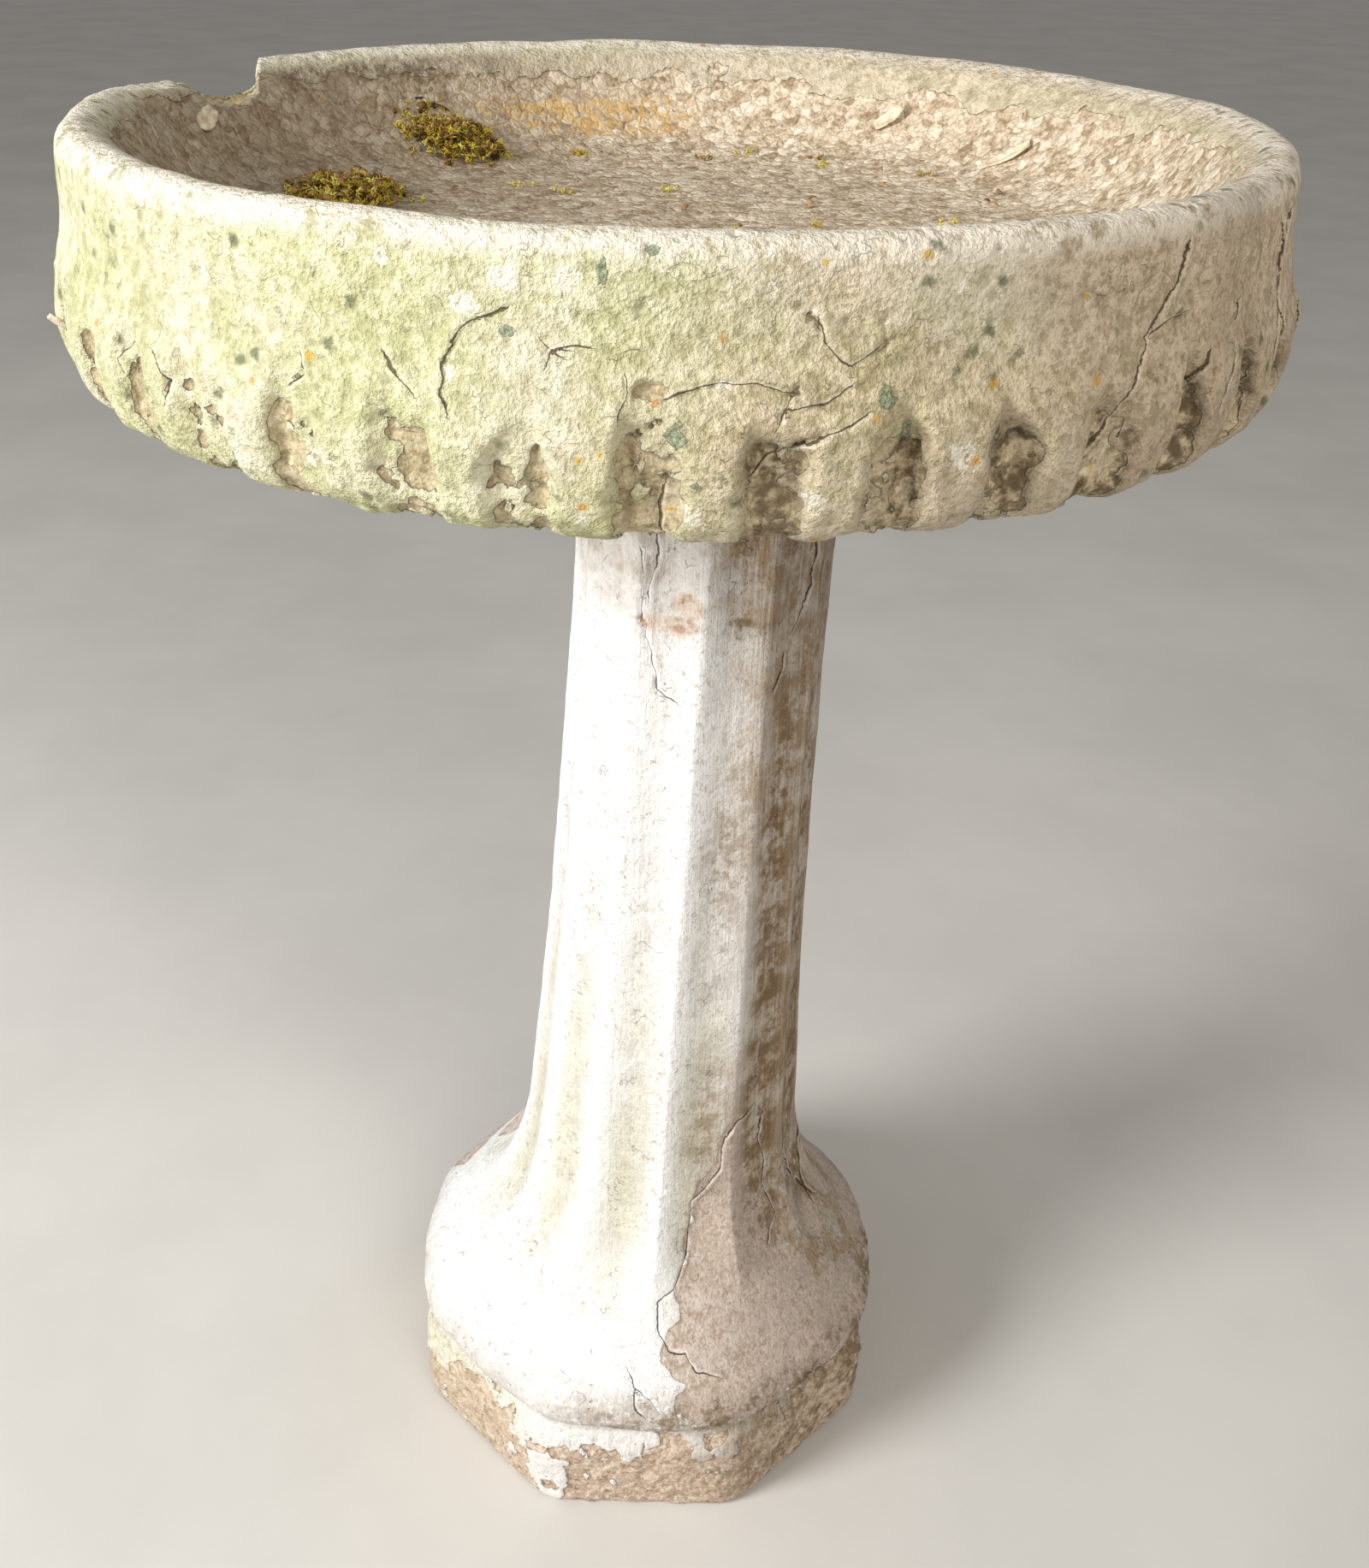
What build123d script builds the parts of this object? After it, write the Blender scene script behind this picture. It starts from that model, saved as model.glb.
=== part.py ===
"""Cast-stone garden bird bath: a scalloped round basin that stands loose on a fluted pedestal.

Millimetres, +Z up. The origin is on the ground under the centre of the foot.
-Y is the front: one flat of the octagonal foot faces it.
"""
import math
import os

from build123d import *

# ---- driving dimensions ----
overall_height = 660.0
basin_height = 86.0
wall_radius = 224.0
band_radius = 232.0
bowl_depth = 45.0
seat_height = 552.0
foot_apothem = 116.0

# ---- basin ----
rim_z = overall_height
basin_bottom_z = overall_height - basin_height
floor_z = overall_height - bowl_depth
rim_outer_roll = 6.0
rim_inner_roll = 20.0
floor_edge_radius = 140.0
bottom_edge_radius = wall_radius - 16.0
boss_radius = 80.0
boss_flare = 4.0
boss_height = 8.0

# ---- scallops round the lower band of the basin ----
scallop_count = 40
scallop_cutter_radius = 10.0
scallop_depth = 7.5
scallop_first_angle = -91.5
scallop_top_z = basin_bottom_z + 40.0
scallop_low_z = basin_bottom_z + 10.0

# ---- broken-out piece of the rim, at the left towards the back ----
chip_angle = 160.0
chip_depth = 15.0
chip_step = 40.0
chip_run_out = 58.0
chip_reach = 50.0

# ---- pedestal shaft ----
flute_count = 12
flute_depth = 1.4
shaft_lean = 0.030
bedding_gap = 0.3
head_z = seat_height - bedding_gap
shaft_foot_z = 120.0
shaft_radii = ((shaft_foot_z, 74.0), (180.0, 68.5), (260.0, 62.5), (380.0, 57.0), (470.0, 54.5), (head_z, 56.5))

# ---- pedestal base ----
plinth_height = 56.0
plinth_shoulder = 8.0
plinth_foot_edge = 3.0
groove_radius = foot_apothem - 4.0
bell_lip_radius = foot_apothem + 4.5
bell_lip_z = plinth_height + 12.0
bell_top_radius = 71.0
bell_top_z = 158.0

# ---- loose dowel between the two castings ----
pin_radius = 9.5
pin_clearance = 0.05
pin_end_gap = 0.3
pin_in_pedestal = 66.0
pin_in_basin = 38.0
pin_chamfer = 1.5

# ---- steel cast into the stone: it shares its space with the castings ----
rod_radius = 3.0
rod_circle_radius = 30.0
rod_circle_x = 8.0
rod_count = 3
rod_low_z = 25.0
rod_high_z = 520.0
rim_wire_radius = 2.5
rim_wire_ring_radius = 207.0
rim_wire_z = 626.0
bar_radius = 3.0
bar_offset = 60.0
bar_half_length = 150.0
lower_bar_z = basin_bottom_z + 14.0
upper_bar_z = lower_bar_z + 2 * bar_radius + 0.4

# ---- moss in the bowl: centre x, y, z and half sizes ----
moss_behind = ((-108.0, 141.0, 622.0), (30.0, 23.0, 12.0))
moss_left = ((-135.0, 35.0, 618.0), (26.0, 42.0, 9.0))


def revolve_section(edges):
    """Turn a closed outline of (radius, height) about the vertical axis."""
    section = Plane.XZ * Face(Wire(edges))
    return revolve(section, Axis.Z, 360)


def vertical_rod(x, y, low, high, radius):
    """A round bar that stands upright."""
    return Pos(x, y, (low + high) / 2) * Cylinder(radius, high - low)


def basin_turned():
    """The basin before the scallops, the chip and the socket are taken out of it."""
    underside_edge = (bottom_edge_radius, basin_bottom_z)
    band_low = (band_radius - 4.0, basin_bottom_z + 12.0)
    band_high = (wall_radius, basin_bottom_z + 52.0)
    wall_top = (wall_radius, rim_z - rim_outer_roll)
    outer_roll = JernArc(wall_top, (0, 1), rim_outer_roll, 90)
    inner_roll = JernArc(outer_roll @ 1, (-1, 0), rim_inner_roll, 50)
    inner_wall_middle = (wall_radius - 38.0, rim_z - 30.0)
    floor_edge = (floor_edge_radius, floor_z)
    edges = [
        Line((0, seat_height), (boss_radius, seat_height)),
        Line((boss_radius, seat_height), (boss_radius + boss_flare, seat_height + boss_height)),
        Line((boss_radius + boss_flare, seat_height + boss_height), underside_edge),
        ThreePointArc(underside_edge, (bottom_edge_radius + 14.0, basin_bottom_z + 4.0), band_low),
        ThreePointArc(band_low, (band_radius, basin_bottom_z + 28.0), band_high),
        Line(band_high, wall_top),
        outer_roll,
        inner_roll,
        ThreePointArc(inner_roll @ 1, inner_wall_middle, floor_edge),
        Line(floor_edge, (0, floor_z)),
        Line((0, floor_z), (0, seat_height)),
    ]
    return revolve_section(edges)


def scallop_cutters():
    """Round bars that lean out at the top, one for each hollow of the scalloped band."""
    top = Vector(band_radius - 1.0 + scallop_cutter_radius, 0, scallop_top_z)
    low = Vector(band_radius - 4.0 + scallop_cutter_radius - scallop_depth, 0, scallop_low_z)
    along = (top - low).normalized()
    start = low - along * 40.0
    bar_length = (top - start).length + 25.0
    plane = Plane(origin=start, z_dir=along)
    bar = plane * Cylinder(scallop_cutter_radius, bar_length, align=(Align.CENTER, Align.CENTER, Align.MIN))
    pitch = 360.0 / scallop_count
    return [Rot(0, 0, scallop_first_angle + pitch * index) * bar for index in range(scallop_count)]


def chip_cutter():
    """The broken-out place: a steep step at one end, a ragged floor and a long run-out."""
    over = rim_z + 2.0
    low = rim_z - chip_depth
    outline = [
        (-chip_step, over),
        (-chip_step + 2.0, low + 4.0),
        (-chip_step + 12.0, low),
        (-chip_step / 4, low + 1.0),
        (0, low + 6.0),
        (chip_run_out / 3, low + 11.0),
        (chip_run_out, over),
    ]
    face = Plane.YZ * make_face(Polyline(*outline, close=True))
    wedge = extrude(face, amount=chip_reach)
    return Rot(0, 0, chip_angle) * Pos(wall_radius + 6.0 - chip_reach, 0, 0) * wedge


def moss_clump(turned, centre, half_sizes):
    """A low mound that rests on the bowl's floor and wall."""
    mound = Pos(*centre) * scale(Sphere(1.0), by=half_sizes)
    return mound - turned


def pin_socket(low, high):
    """The hole that the dowel stands in."""
    return vertical_rod(0, 0, low, high, pin_radius + pin_clearance)


def fluted_section(z, ridge_radius):
    """One slice of the shaft: shallow hollows that meet in soft ridges."""
    centre_x = shaft_lean * z
    pitch = math.tau / flute_count
    hollow_radius = ridge_radius * math.cos(pitch / 2) - flute_depth

    def point(radius, angle):
        return (centre_x + radius * math.cos(angle), radius * math.sin(angle), z)

    edges = []
    for index in range(flute_count):
        start = index * pitch
        middle = point(hollow_radius, start + pitch / 2)
        edges.append(ThreePointArc(point(ridge_radius, start), middle, point(ridge_radius, start + pitch)))
    return Face(Wire(edges))


def plinth():
    """The octagonal foot, with a sloping shoulder and a softened lower edge."""
    corner_radius = foot_apothem / math.cos(math.pi / 8)
    octagon = RegularPolygon(corner_radius, 8, rotation=22.5)
    block = extrude(octagon, amount=plinth_height)
    block = chamfer(block.edges().group_by(Axis.Z)[-1], plinth_shoulder)
    return chamfer(block.edges().group_by(Axis.Z)[0], plinth_foot_edge)


def bell():
    """The round swelling between the foot and the shaft, above a narrow groove."""
    lip_low = (groove_radius, bell_lip_z - 10.0)
    lip_out = (bell_lip_radius, bell_lip_z)
    lip_high = (bell_lip_radius - 5.0, bell_lip_z + 12.0)
    top = (bell_top_radius, bell_top_z)
    edges = [
        Line((0, plinth_height - 6.0), (groove_radius, plinth_height - 6.0)),
        Line((groove_radius, plinth_height - 6.0), lip_low),
        ThreePointArc(lip_low, (bell_lip_radius - 2.5, bell_lip_z - 7.0), lip_out),
        ThreePointArc(lip_out, (bell_lip_radius - 1.4, bell_lip_z + 7.0), lip_high),
        ThreePointArc(lip_high, (94.5, 114.0), top),
        Line(top, (0, bell_top_z)),
        Line((0, bell_top_z), (0, plinth_height - 6.0)),
    ]
    return revolve_section(edges)


def pedestal_rods():
    """Reinforcing rods that stand inside the pedestal."""
    rods = []
    for index in range(rod_count):
        angle = math.radians(30.0 + 360.0 / rod_count * index)
        x = rod_circle_x + rod_circle_radius * math.cos(angle)
        y = rod_circle_radius * math.sin(angle)
        rods.append(vertical_rod(x, y, rod_low_z, rod_high_z, rod_radius))
    return rods


def floor_bars():
    """Two pairs of crossed bars inside the basin's floor."""
    bars = []
    for side in (-1, 1):
        lower = Rot(0, 90, 0) * Cylinder(bar_radius, 2 * bar_half_length)
        upper = Rot(90, 0, 0) * Cylinder(bar_radius, 2 * bar_half_length)
        bars.append(Pos(0, side * bar_offset, lower_bar_z) * lower)
        bars.append(Pos(side * bar_offset, 0, upper_bar_z) * upper)
    return bars


def locating_pin():
    """The steel dowel that keeps the basin from sliding off the pedestal."""
    low = head_z - pin_in_pedestal
    high = seat_height + pin_in_basin
    pin = vertical_rod(0, 0, low, high, pin_radius)
    return chamfer(pin.edges().filter_by(GeomType.CIRCLE), pin_chamfer)


def build_parts():
    """Every piece of the bird bath, by node name."""
    turned = basin_turned()
    basin_socket = pin_socket(seat_height - 1.0, seat_height + pin_in_basin + pin_end_gap)
    basin = turned - scallop_cutters() - chip_cutter() - basin_socket

    shaft = loft([fluted_section(z, radius) for z, radius in shaft_radii])
    pedestal_socket = pin_socket(head_z - pin_in_pedestal - pin_end_gap, head_z + 1.0)
    pedestal = plinth() + bell() + shaft - pedestal_socket

    return {
        "pedestal": pedestal,
        "pedestal_rods": Compound(children=pedestal_rods()),
        "locating_pin": locating_pin(),
        "basin": basin,
        "basin_rim_wire": Pos(0, 0, rim_wire_z) * Torus(rim_wire_ring_radius, rim_wire_radius),
        "basin_floor_bars": Compound(children=floor_bars()),
        "moss_clump_behind": moss_clump(turned, *moss_behind),
        "moss_clump_left": moss_clump(turned, *moss_left),
    }


os.makedirs("parts", exist_ok=True)
for node, shape in build_parts().items():
    export_step(shape, f"parts/{node}.step")
    print(node, len(shape.solids()), "solids", round(shape.volume / 1000.0, 1), "cm3")
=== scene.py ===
"""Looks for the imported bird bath: two weathered castings, moss and leaf litter.

Lengths in the modelling part are millimetres in the row frame, and meshes are scaled to metres when made.
Angles are measured about +Z from +X, and -90 degrees is the front.
"""
import math

import bpy
import numpy as np
from mathutils import Matrix, Vector


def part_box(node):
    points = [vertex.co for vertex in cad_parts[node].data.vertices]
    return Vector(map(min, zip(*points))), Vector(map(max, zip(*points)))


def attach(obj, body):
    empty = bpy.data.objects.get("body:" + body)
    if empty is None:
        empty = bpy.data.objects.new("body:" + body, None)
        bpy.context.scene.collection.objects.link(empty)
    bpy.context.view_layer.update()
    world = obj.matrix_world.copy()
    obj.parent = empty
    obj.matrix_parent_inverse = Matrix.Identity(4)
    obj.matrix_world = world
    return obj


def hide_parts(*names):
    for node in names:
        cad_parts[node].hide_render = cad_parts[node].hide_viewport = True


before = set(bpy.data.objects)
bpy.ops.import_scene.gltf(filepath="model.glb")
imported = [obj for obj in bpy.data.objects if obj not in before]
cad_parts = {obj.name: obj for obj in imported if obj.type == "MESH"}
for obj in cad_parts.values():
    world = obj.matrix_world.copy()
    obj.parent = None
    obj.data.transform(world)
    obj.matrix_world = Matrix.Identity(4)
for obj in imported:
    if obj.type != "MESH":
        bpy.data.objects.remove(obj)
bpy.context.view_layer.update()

MM = 0.001

# ---- places taken from the frame, in mm ----
basin_low, basin_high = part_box("basin")
pin_low, pin_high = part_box("locating_pin")
BASIN_DEPTH = 86.0
BOWL_DEPTH = 45.0
PIN_END_GAP = 0.3
RIM_Z = basin_high.z / MM
SEAT_Z = basin_low.z / MM
HEAD_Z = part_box("pedestal")[1].z / MM
BASIN_BOTTOM_Z = RIM_Z - BASIN_DEPTH
FLOOR_Z = RIM_Z - BOWL_DEPTH
WALL_RADIUS = basin_high.x / MM - 8.0
SOCKET_RADIUS = 9.55
BASIN_SOCKET_Z = pin_high.z / MM + PIN_END_GAP
PEDESTAL_SOCKET_Z = pin_low.z / MM - PIN_END_GAP

# ---- sizes of the looks, in mm and radians ----
BAND_RADIUS = 228.0          # middle of the lower band, where the basin's marks are measured
BAND_INSIDE = 206.0          # where the band's underside begins
BAND_HEIGHT = 42.0
RIM_MIDDLE = 214.0
BREAK_ANGLE = math.radians(149.0)
BREAK_SKEW = np.radians(0.29)
SCALLOPS = 40
FIRST_SCALLOP = math.radians(-91.5)
SHAFT_LEAN = 0.034
FLUTES = 12
BEAD_Z = 70.0
FAR_FROM_CRACKS = 30.0       # the distance that is stored where no crack is near


# ======================================================================= numbers
def smooth(low, high, value):
    """0 below low, 1 above high, and an even curve between them. low may be the larger."""
    t = np.clip((value - low) / (high - low), 0.0, 1.0)
    return t * t * (3.0 - 2.0 * t)


def corner_values(x, y, z, seed):
    """A repeatable scrambled whole number for each corner of a grid."""
    mixed = x.astype(np.uint32) * np.uint32(73856093)
    mixed ^= y.astype(np.uint32) * np.uint32(19349663)
    mixed ^= z.astype(np.uint32) * np.uint32(83492791)
    mixed ^= np.uint32(seed * 2654435761 % 4294967296)
    mixed ^= mixed >> np.uint32(15)
    mixed *= np.uint32(2246822519)
    mixed ^= mixed >> np.uint32(13)
    mixed *= np.uint32(3266489917)
    mixed ^= mixed >> np.uint32(16)
    return mixed


def share(numbers, shift):
    """Ten bits of a scrambled number, from -1 to 1."""
    return (numbers >> np.uint32(shift) & np.uint32(1023)) / 511.5 - 1.0


def gradient_noise(points, seed):
    """Smooth noise of about -1 to 1 with features about one unit across."""
    base = np.floor(points)
    part = points - base
    cell = base.astype(np.int64)
    fade = part ** 3 * (part * (part * 6.0 - 15.0) + 10.0)
    total = np.zeros(len(points))
    for corner in range(8):
        step = np.array([corner & 1, corner >> 1 & 1, corner >> 2 & 1])
        numbers = corner_values(*(cell + step).T, seed)
        away = part - step
        slope = share(numbers, 0) * away[:, 0] + share(numbers, 10) * away[:, 1]
        slope += share(numbers, 20) * away[:, 2]
        weight = np.prod(np.where(step, fade, 1.0 - fade), axis=1)
        total += weight * slope
    return total * 1.3


def layered_noise(points, size, layers, seed):
    """Noise whose largest features are size across, with finer layers at half the strength each."""
    total = np.zeros(len(points))
    strength = 1.0
    for layer in range(layers):
        total += strength * gradient_noise(points * (2.0 ** layer / size) + 17.3 * layer, seed + layer)
        strength *= 0.5
    return total


def straight_path(points, spacing):
    """Straight runs through (radius, height) points, cut into even steps."""
    points = np.array(points, float)
    length = np.concatenate([[0.0], np.cumsum(np.linalg.norm(np.diff(points, axis=0), axis=1))])
    count = max(1, int(round(length[-1] / spacing)))
    even = np.linspace(0.0, length[-1], count + 1)
    return np.column_stack([np.interp(even, length, points[:, k]) for k in range(2)])


def smooth_path(points, spacing):
    """A smooth curve through (radius, height) points, cut into even steps."""
    points = np.array(points, float)
    padded = np.vstack([2 * points[0] - points[1], points, 2 * points[-1] - points[-2]])
    t = np.linspace(0, 1, 24, endpoint=False)[:, None]
    pieces = []
    for a, b, c, d in zip(padded, padded[1:], padded[2:], padded[3:]):
        square = 2 * a - 5 * b + 4 * c - d
        cube = 3 * b - a - 3 * c + d
        pieces.append(0.5 * (2 * b + (c - a) * t + square * t ** 2 + cube * t ** 3))
    return straight_path(np.vstack(pieces + [points[-1:]]), spacing)


def flat_zones(height, *runs):
    """Zones of a level surface, each from a (start radius, end radius, spacing, columns) run."""
    return [(straight_path([(a, height), (b, height)], spacing), columns) for a, b, spacing, columns in runs]


# ======================================================================= meshes
class Turned:
    """A closed surface made of rings. A zone is (path, columns), and neighbours differ twofold at most."""

    def __init__(self, zones):
        radius, height, angle, along, counts = [], [], [], [], []
        travelled = 0.0
        last = None
        for path, columns in zones:
            for row in path:
                if last is not None and np.allclose(row, last):
                    continue
                travelled += 0.0 if last is None else float(np.linalg.norm(row - last))
                last = row
                count = 1 if row[0] < 1e-6 else columns
                radius.append(np.full(count, row[0]))
                height.append(np.full(count, row[1]))
                angle.append(np.arange(count) * (math.tau / count) - math.pi)
                along.append(np.full(count, travelled))
                counts.append(count)
        self.radius = np.concatenate(radius)
        self.height = np.concatenate(height)
        self.angle = np.concatenate(angle)
        self.along = np.concatenate(along)
        self.quads, self.triangles = ring_faces(counts)
        self.ring = np.column_stack([np.cos(self.angle), np.sin(self.angle), np.zeros(len(self.angle))])
        self.flat = self.points()

    def points(self):
        return np.column_stack([self.radius * self.ring[:, 0], self.radius * self.ring[:, 1], self.height])

    def noise(self, size, layers, seed):
        """Noise over the surface as it was before any shaping."""
        return layered_noise(self.flat, size, layers, seed)

    def around(self, pace, seed):
        """Noise that changes with the angle only."""
        return gradient_noise(self.ring * pace, seed)


def ring_faces(counts):
    """Faces between each ring and the next, which has as many points, half as many, twice as many, or one."""
    quads, triangles = [], []
    start = 0
    for here, there in zip(counts, counts[1:]):
        low, high = start, start + here
        start += here
        # a ring that widens has the faces of one that narrows, with their corners in the opposite order
        many, few = (low, high) if here >= there else (high, low)
        order = slice(None) if here >= there else slice(None, None, -1)
        size = max(here, there)
        k = np.arange(min(here, there))
        after = (k + 1) % len(k)
        if here == there:
            quads.append(np.column_stack([low + k, low + after, high + after, high + k]))
        elif len(k) == 1:
            i = np.arange(size)
            triangles.append(np.column_stack([many + i, many + (i + 1) % size, np.full(size, few)])[:, order])
        else:
            next_pair = (2 * k + 2) % size
            quad = np.column_stack([many + 2 * k + 1, many + next_pair, few + after, few + k])
            triangle = np.column_stack([many + 2 * k, many + 2 * k + 1, few + k])
            quads.append(quad[:, order])
            triangles.append(triangle[:, order])
    return np.vstack(quads), np.vstack(triangles)


def vertex_normals(points, quads, triangles):
    """The direction that each point faces, weighted by the faces round it."""
    normals = np.zeros_like(points)
    for faces, ends in ((quads, (2, 0, 3, 1)), (triangles, (1, 0, 2, 0))):
        a, b, c, d = (points[faces[:, k]] for k in ends)
        across = np.cross(a - b, c - d)
        for k in range(faces.shape[1]):
            np.add.at(normals, faces[:, k], across)
    return normals / np.maximum(np.linalg.norm(normals, axis=1), 1e-9)[:, None]


def mesh_object(name, points, faces, attributes, material):
    """A smooth-shaded object from millimetre points and face arrays, with numbers stored on its points."""
    mesh = bpy.data.meshes.new(name)
    corners = np.concatenate([f.ravel() for f in faces]).astype(np.int32)
    sizes = np.concatenate([np.full(len(f), f.shape[1]) for f in faces])
    starts = np.concatenate([[0], np.cumsum(sizes)[:-1]]).astype(np.int32)
    mesh.vertices.add(len(points))
    mesh.vertices.foreach_set("co", (points * MM).astype(np.float32).ravel())
    mesh.loops.add(len(corners))
    mesh.loops.foreach_set("vertex_index", corners)
    mesh.polygons.add(len(sizes))
    mesh.polygons.foreach_set("loop_start", starts)
    mesh.update(calc_edges=True)
    mesh.validate()
    mesh.polygons.foreach_set("use_smooth", np.ones(len(mesh.polygons), bool))
    for key, values in attributes.items():
        mesh.attributes.new(key, "FLOAT", "POINT").data.foreach_set("value", values.astype(np.float32))
    mesh.materials.append(material)
    piece = bpy.data.objects.new(name, mesh)
    bpy.context.scene.collection.objects.link(piece)
    return piece


# ======================================================================= cracks and spots
def turn_from(angle, degrees):
    """Signed angle from a place given in degrees, in radians."""
    return (angle - math.radians(degrees) + math.pi) % math.tau - math.pi


def crack_distance(angle, height, radius, routes):
    """Signed distance to a crack over its width, and in mm. A route is (width, [(degrees, height)])."""
    nearest = np.full(len(angle), FAR_FROM_CRACKS)
    plain = nearest.copy()
    for width, route in routes:
        for (a0, z0), (a1, z1) in zip(route, route[1:]):
            u, v = turn_from(angle, a0) * radius, height - z0
            du, dv = math.radians(a1 - a0) * radius, z1 - z0
            span = np.maximum(du * du + dv * dv, 1e-6)
            t = np.clip((u * du + v * dv) / span, 0.0, 1.0)
            distance = np.hypot(u - t * du, v - t * dv)
            plain = np.minimum(plain, distance)
            distance = distance / width
            side = np.where(du * v - dv * u < 0, -1.0, 1.0)
            nearest = np.where(distance < np.abs(nearest), distance * side, nearest)
    return nearest, plain


def spot_mask(angle, height, radius, ragged, spots, soft):
    """1 inside a spot and 0 outside. A spot is (degrees, height, half width, half height)."""
    mask = np.zeros(len(angle))
    for degrees, middle, wide, tall in spots:
        across = turn_from(angle, degrees) * radius
        distance = np.hypot(across / wide, (height - middle) / tall) + ragged
        mask = np.maximum(mask, smooth(1.0 + soft, 1.0 - soft, distance))
    return mask


def mirrored(degrees, turn, flip):
    return flip * (degrees + 90.0) - 90.0 + turn


def turned_routes(routes, turns):
    """The routes again at other places round the object, every other copy mirrored."""
    copies = list(routes)
    for index, turn in enumerate(turns):
        flip = -1 if index % 2 == 0 else 1
        copies += [(width, [(mirrored(a, turn, flip), z) for a, z in route]) for width, route in routes]
    return copies


def turned_spots(spots, turns):
    """The spots again at other places round the object, every other copy mirrored."""
    copies = list(spots)
    for index, turn in enumerate(turns):
        flip = -1 if index % 2 == 0 else 1
        copies += [(mirrored(a, turn, flip), z, wide, tall) for a, z, wide, tall in spots]
    return copies


class Marks:
    """Cracks and spots on the side of a casting, placed by angle and height."""

    def __init__(self, surface, level, radius, side, ragged, turns):
        """side says which points can hold a mark, and ragged roughens the outline of spots."""
        self.count = len(level)
        self.where = np.nonzero(side)[0]
        self.angle = surface.angle[self.where]
        self.level = level[self.where]
        self.radius = radius[self.where]
        self.ragged = ragged[self.where]
        self.turns = turns

    def cracks(self, routes, shift):
        """For every point, crack_distance with the routes shifted to look uneven."""
        nearest = np.full(self.count, FAR_FROM_CRACKS)
        plain = nearest.copy()
        moved = shift[self.where]
        every = turned_routes(routes, self.turns)
        nearest[self.where], plain[self.where] = crack_distance(
            self.angle + moved / self.radius, self.level + moved, self.radius, every)
        return nearest, plain

    def spots(self, chosen, roughness=0.25, soft=0.15):
        """For every point, 1 inside one of the chosen spots and 0 outside."""
        mask = np.zeros(self.count)
        rough = roughness * self.ragged
        every = turned_spots(chosen, self.turns)
        mask[self.where] = spot_mask(self.angle, self.level, self.radius, rough, every, soft)
        return mask


BASIN_TURNS = (122.0, 182.0, 270.0)
BASIN_CRACKS = [
    (0.8, [(-105.4, 611), (-106, 616), (-105.7, 620)]),
    (1.1, [(-105.7, 620), (-105.9, 624), (-105.2, 630), (-104.6, 634)]),
    (0.9, [(-104.6, 634), (-103.5, 637), (-102.6, 637.5), (-101.6, 639.5)]),
    (1.1, [(-110.4, 625), (-109.9, 621), (-109.3, 619)]),
    (0.7, [(-109.3, 619), (-107.9, 615.5)]),
    (0.7, [(-98.8, 633), (-98.2, 630), (-97.6, 628)]),
    (0.6, [(-98.6, 625.5), (-98.2, 630), (-96.8, 631.5), (-95.6, 631)]),
    (0.7, [(-93.4, 614), (-93, 620), (-93.1, 624)]),
    (0.6, [(-90.4, 618.5), (-89, 621), (-86.6, 623.5), (-84.4, 623), (-81.6, 621)]),
    (0.5, [(-81.6, 620.5), (-82.2, 616), (-82.6, 611)]),
    (0.6, [(-81.8, 616.5), (-79.4, 617.5), (-77.6, 622)]),
    (0.6, [(-80.0, 640), (-79.6, 634), (-78.9, 631), (-77.6, 627)]),
    (0.4, [(-77.6, 627), (-76, 630.5), (-75.4, 633)]),
    (0.9, [(-48.2, 650), (-48.6, 643), (-50.6, 633), (-52.6, 626)]),
    (0.5, [(-52.6, 626), (-49.5, 629.5), (-47.5, 631)]),
    (1.0, [(-52.6, 624), (-54.2, 612), (-55.4, 600), (-57.5, 592)]),
    (1.1, [(-44.6, 617), (-46, 605), (-48.6, 592)]),
    (0.5, [(-76.6, 614), (-79.6, 609), (-83, 603), (-84, 597)]),
    (0.8, [(-39.5, 628), (-40.5, 612), (-42.5, 598)]),
    (1.0, [(-30.5, 648), (-28.5, 636), (-29, 620), (-31, 606)]),
    (1.0, [(-90.4, 593), (-90.6, 586), (-90.2, 579)]),
    (0.8, [(-133, 612), (-131, 604), (-131.6, 596)]),
    (0.7, [(-117.4, 622), (-116.8, 616), (-118.4, 612)]),
]
BASIN_ALGAE = [(-69, 616, 52, 20), (-50, 622, 22, 16)]
BASIN_HOLES = [
    (-91.3, 620.3, 5.2, 2.6), (-92.2, 608.5, 0.9, 1.3), (-91.3, 610.8, 0.8, 0.9), (-90.8, 612.5, 1.4, 1.0),
    (-92.0, 602.0, 1.2, 0.7), (-81.5, 620.6, 1.3, 1.0), (-80.7, 640, 1.2, 0.9), (-64, 604, 1.4, 1.9),
]
BASIN_WHITE = [
    (-86.6, 622.3, 3.8, 2.0), (-105.4, 621.6, 1.5, 3.4), (-97.2, 648.0, 3.2, 3.4), (-110.6, 650, 2.0, 2.4),
    (-101.5, 648, 4.5, 3.8), (-104.2, 640, 4.5, 2.5), (-69, 600, 7.5, 5.0), (-96.0, 585, 4.0, 3.0),
    (-88.2, 586, 5.0, 6.0), (-117, 592, 4.0, 4.5), (-80, 590, 5.0, 5.0), (-124, 588, 3.0, 4.0),
]
BASIN_LICHEN = [
    (-89.5, 609.5, 3.6, 3.6), (-94.8, 650, 2.0, 3.4), (-91.5, 656, 3.5, 1.8), (-75.0, 619, 3.5, 3.0),
    (-73.0, 608, 2.4, 4.0), (-101.4, 634, 2.4, 1.8), (-66, 606, 2.0, 3.0), (-88, 596, 2.4, 1.6),
]
BASIN_ORANGE = [
    (-94.6, 603.5, 0.85, 1.0), (-75.8, 613.5, 0.9, 0.9), (-89.9, 587, 0.9, 0.8), (-66.8, 620, 1.4, 1.4),
    (-57.8, 617, 1.3, 1.3), (-68.2, 600, 1.3, 1.2), (-118.4, 597, 1.0, 1.2), (-72.6, 655, 1.6, 1.3),
    (-47.4, 651, 1.0, 1.0), (-128, 612, 1.0, 1.4),
]

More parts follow.
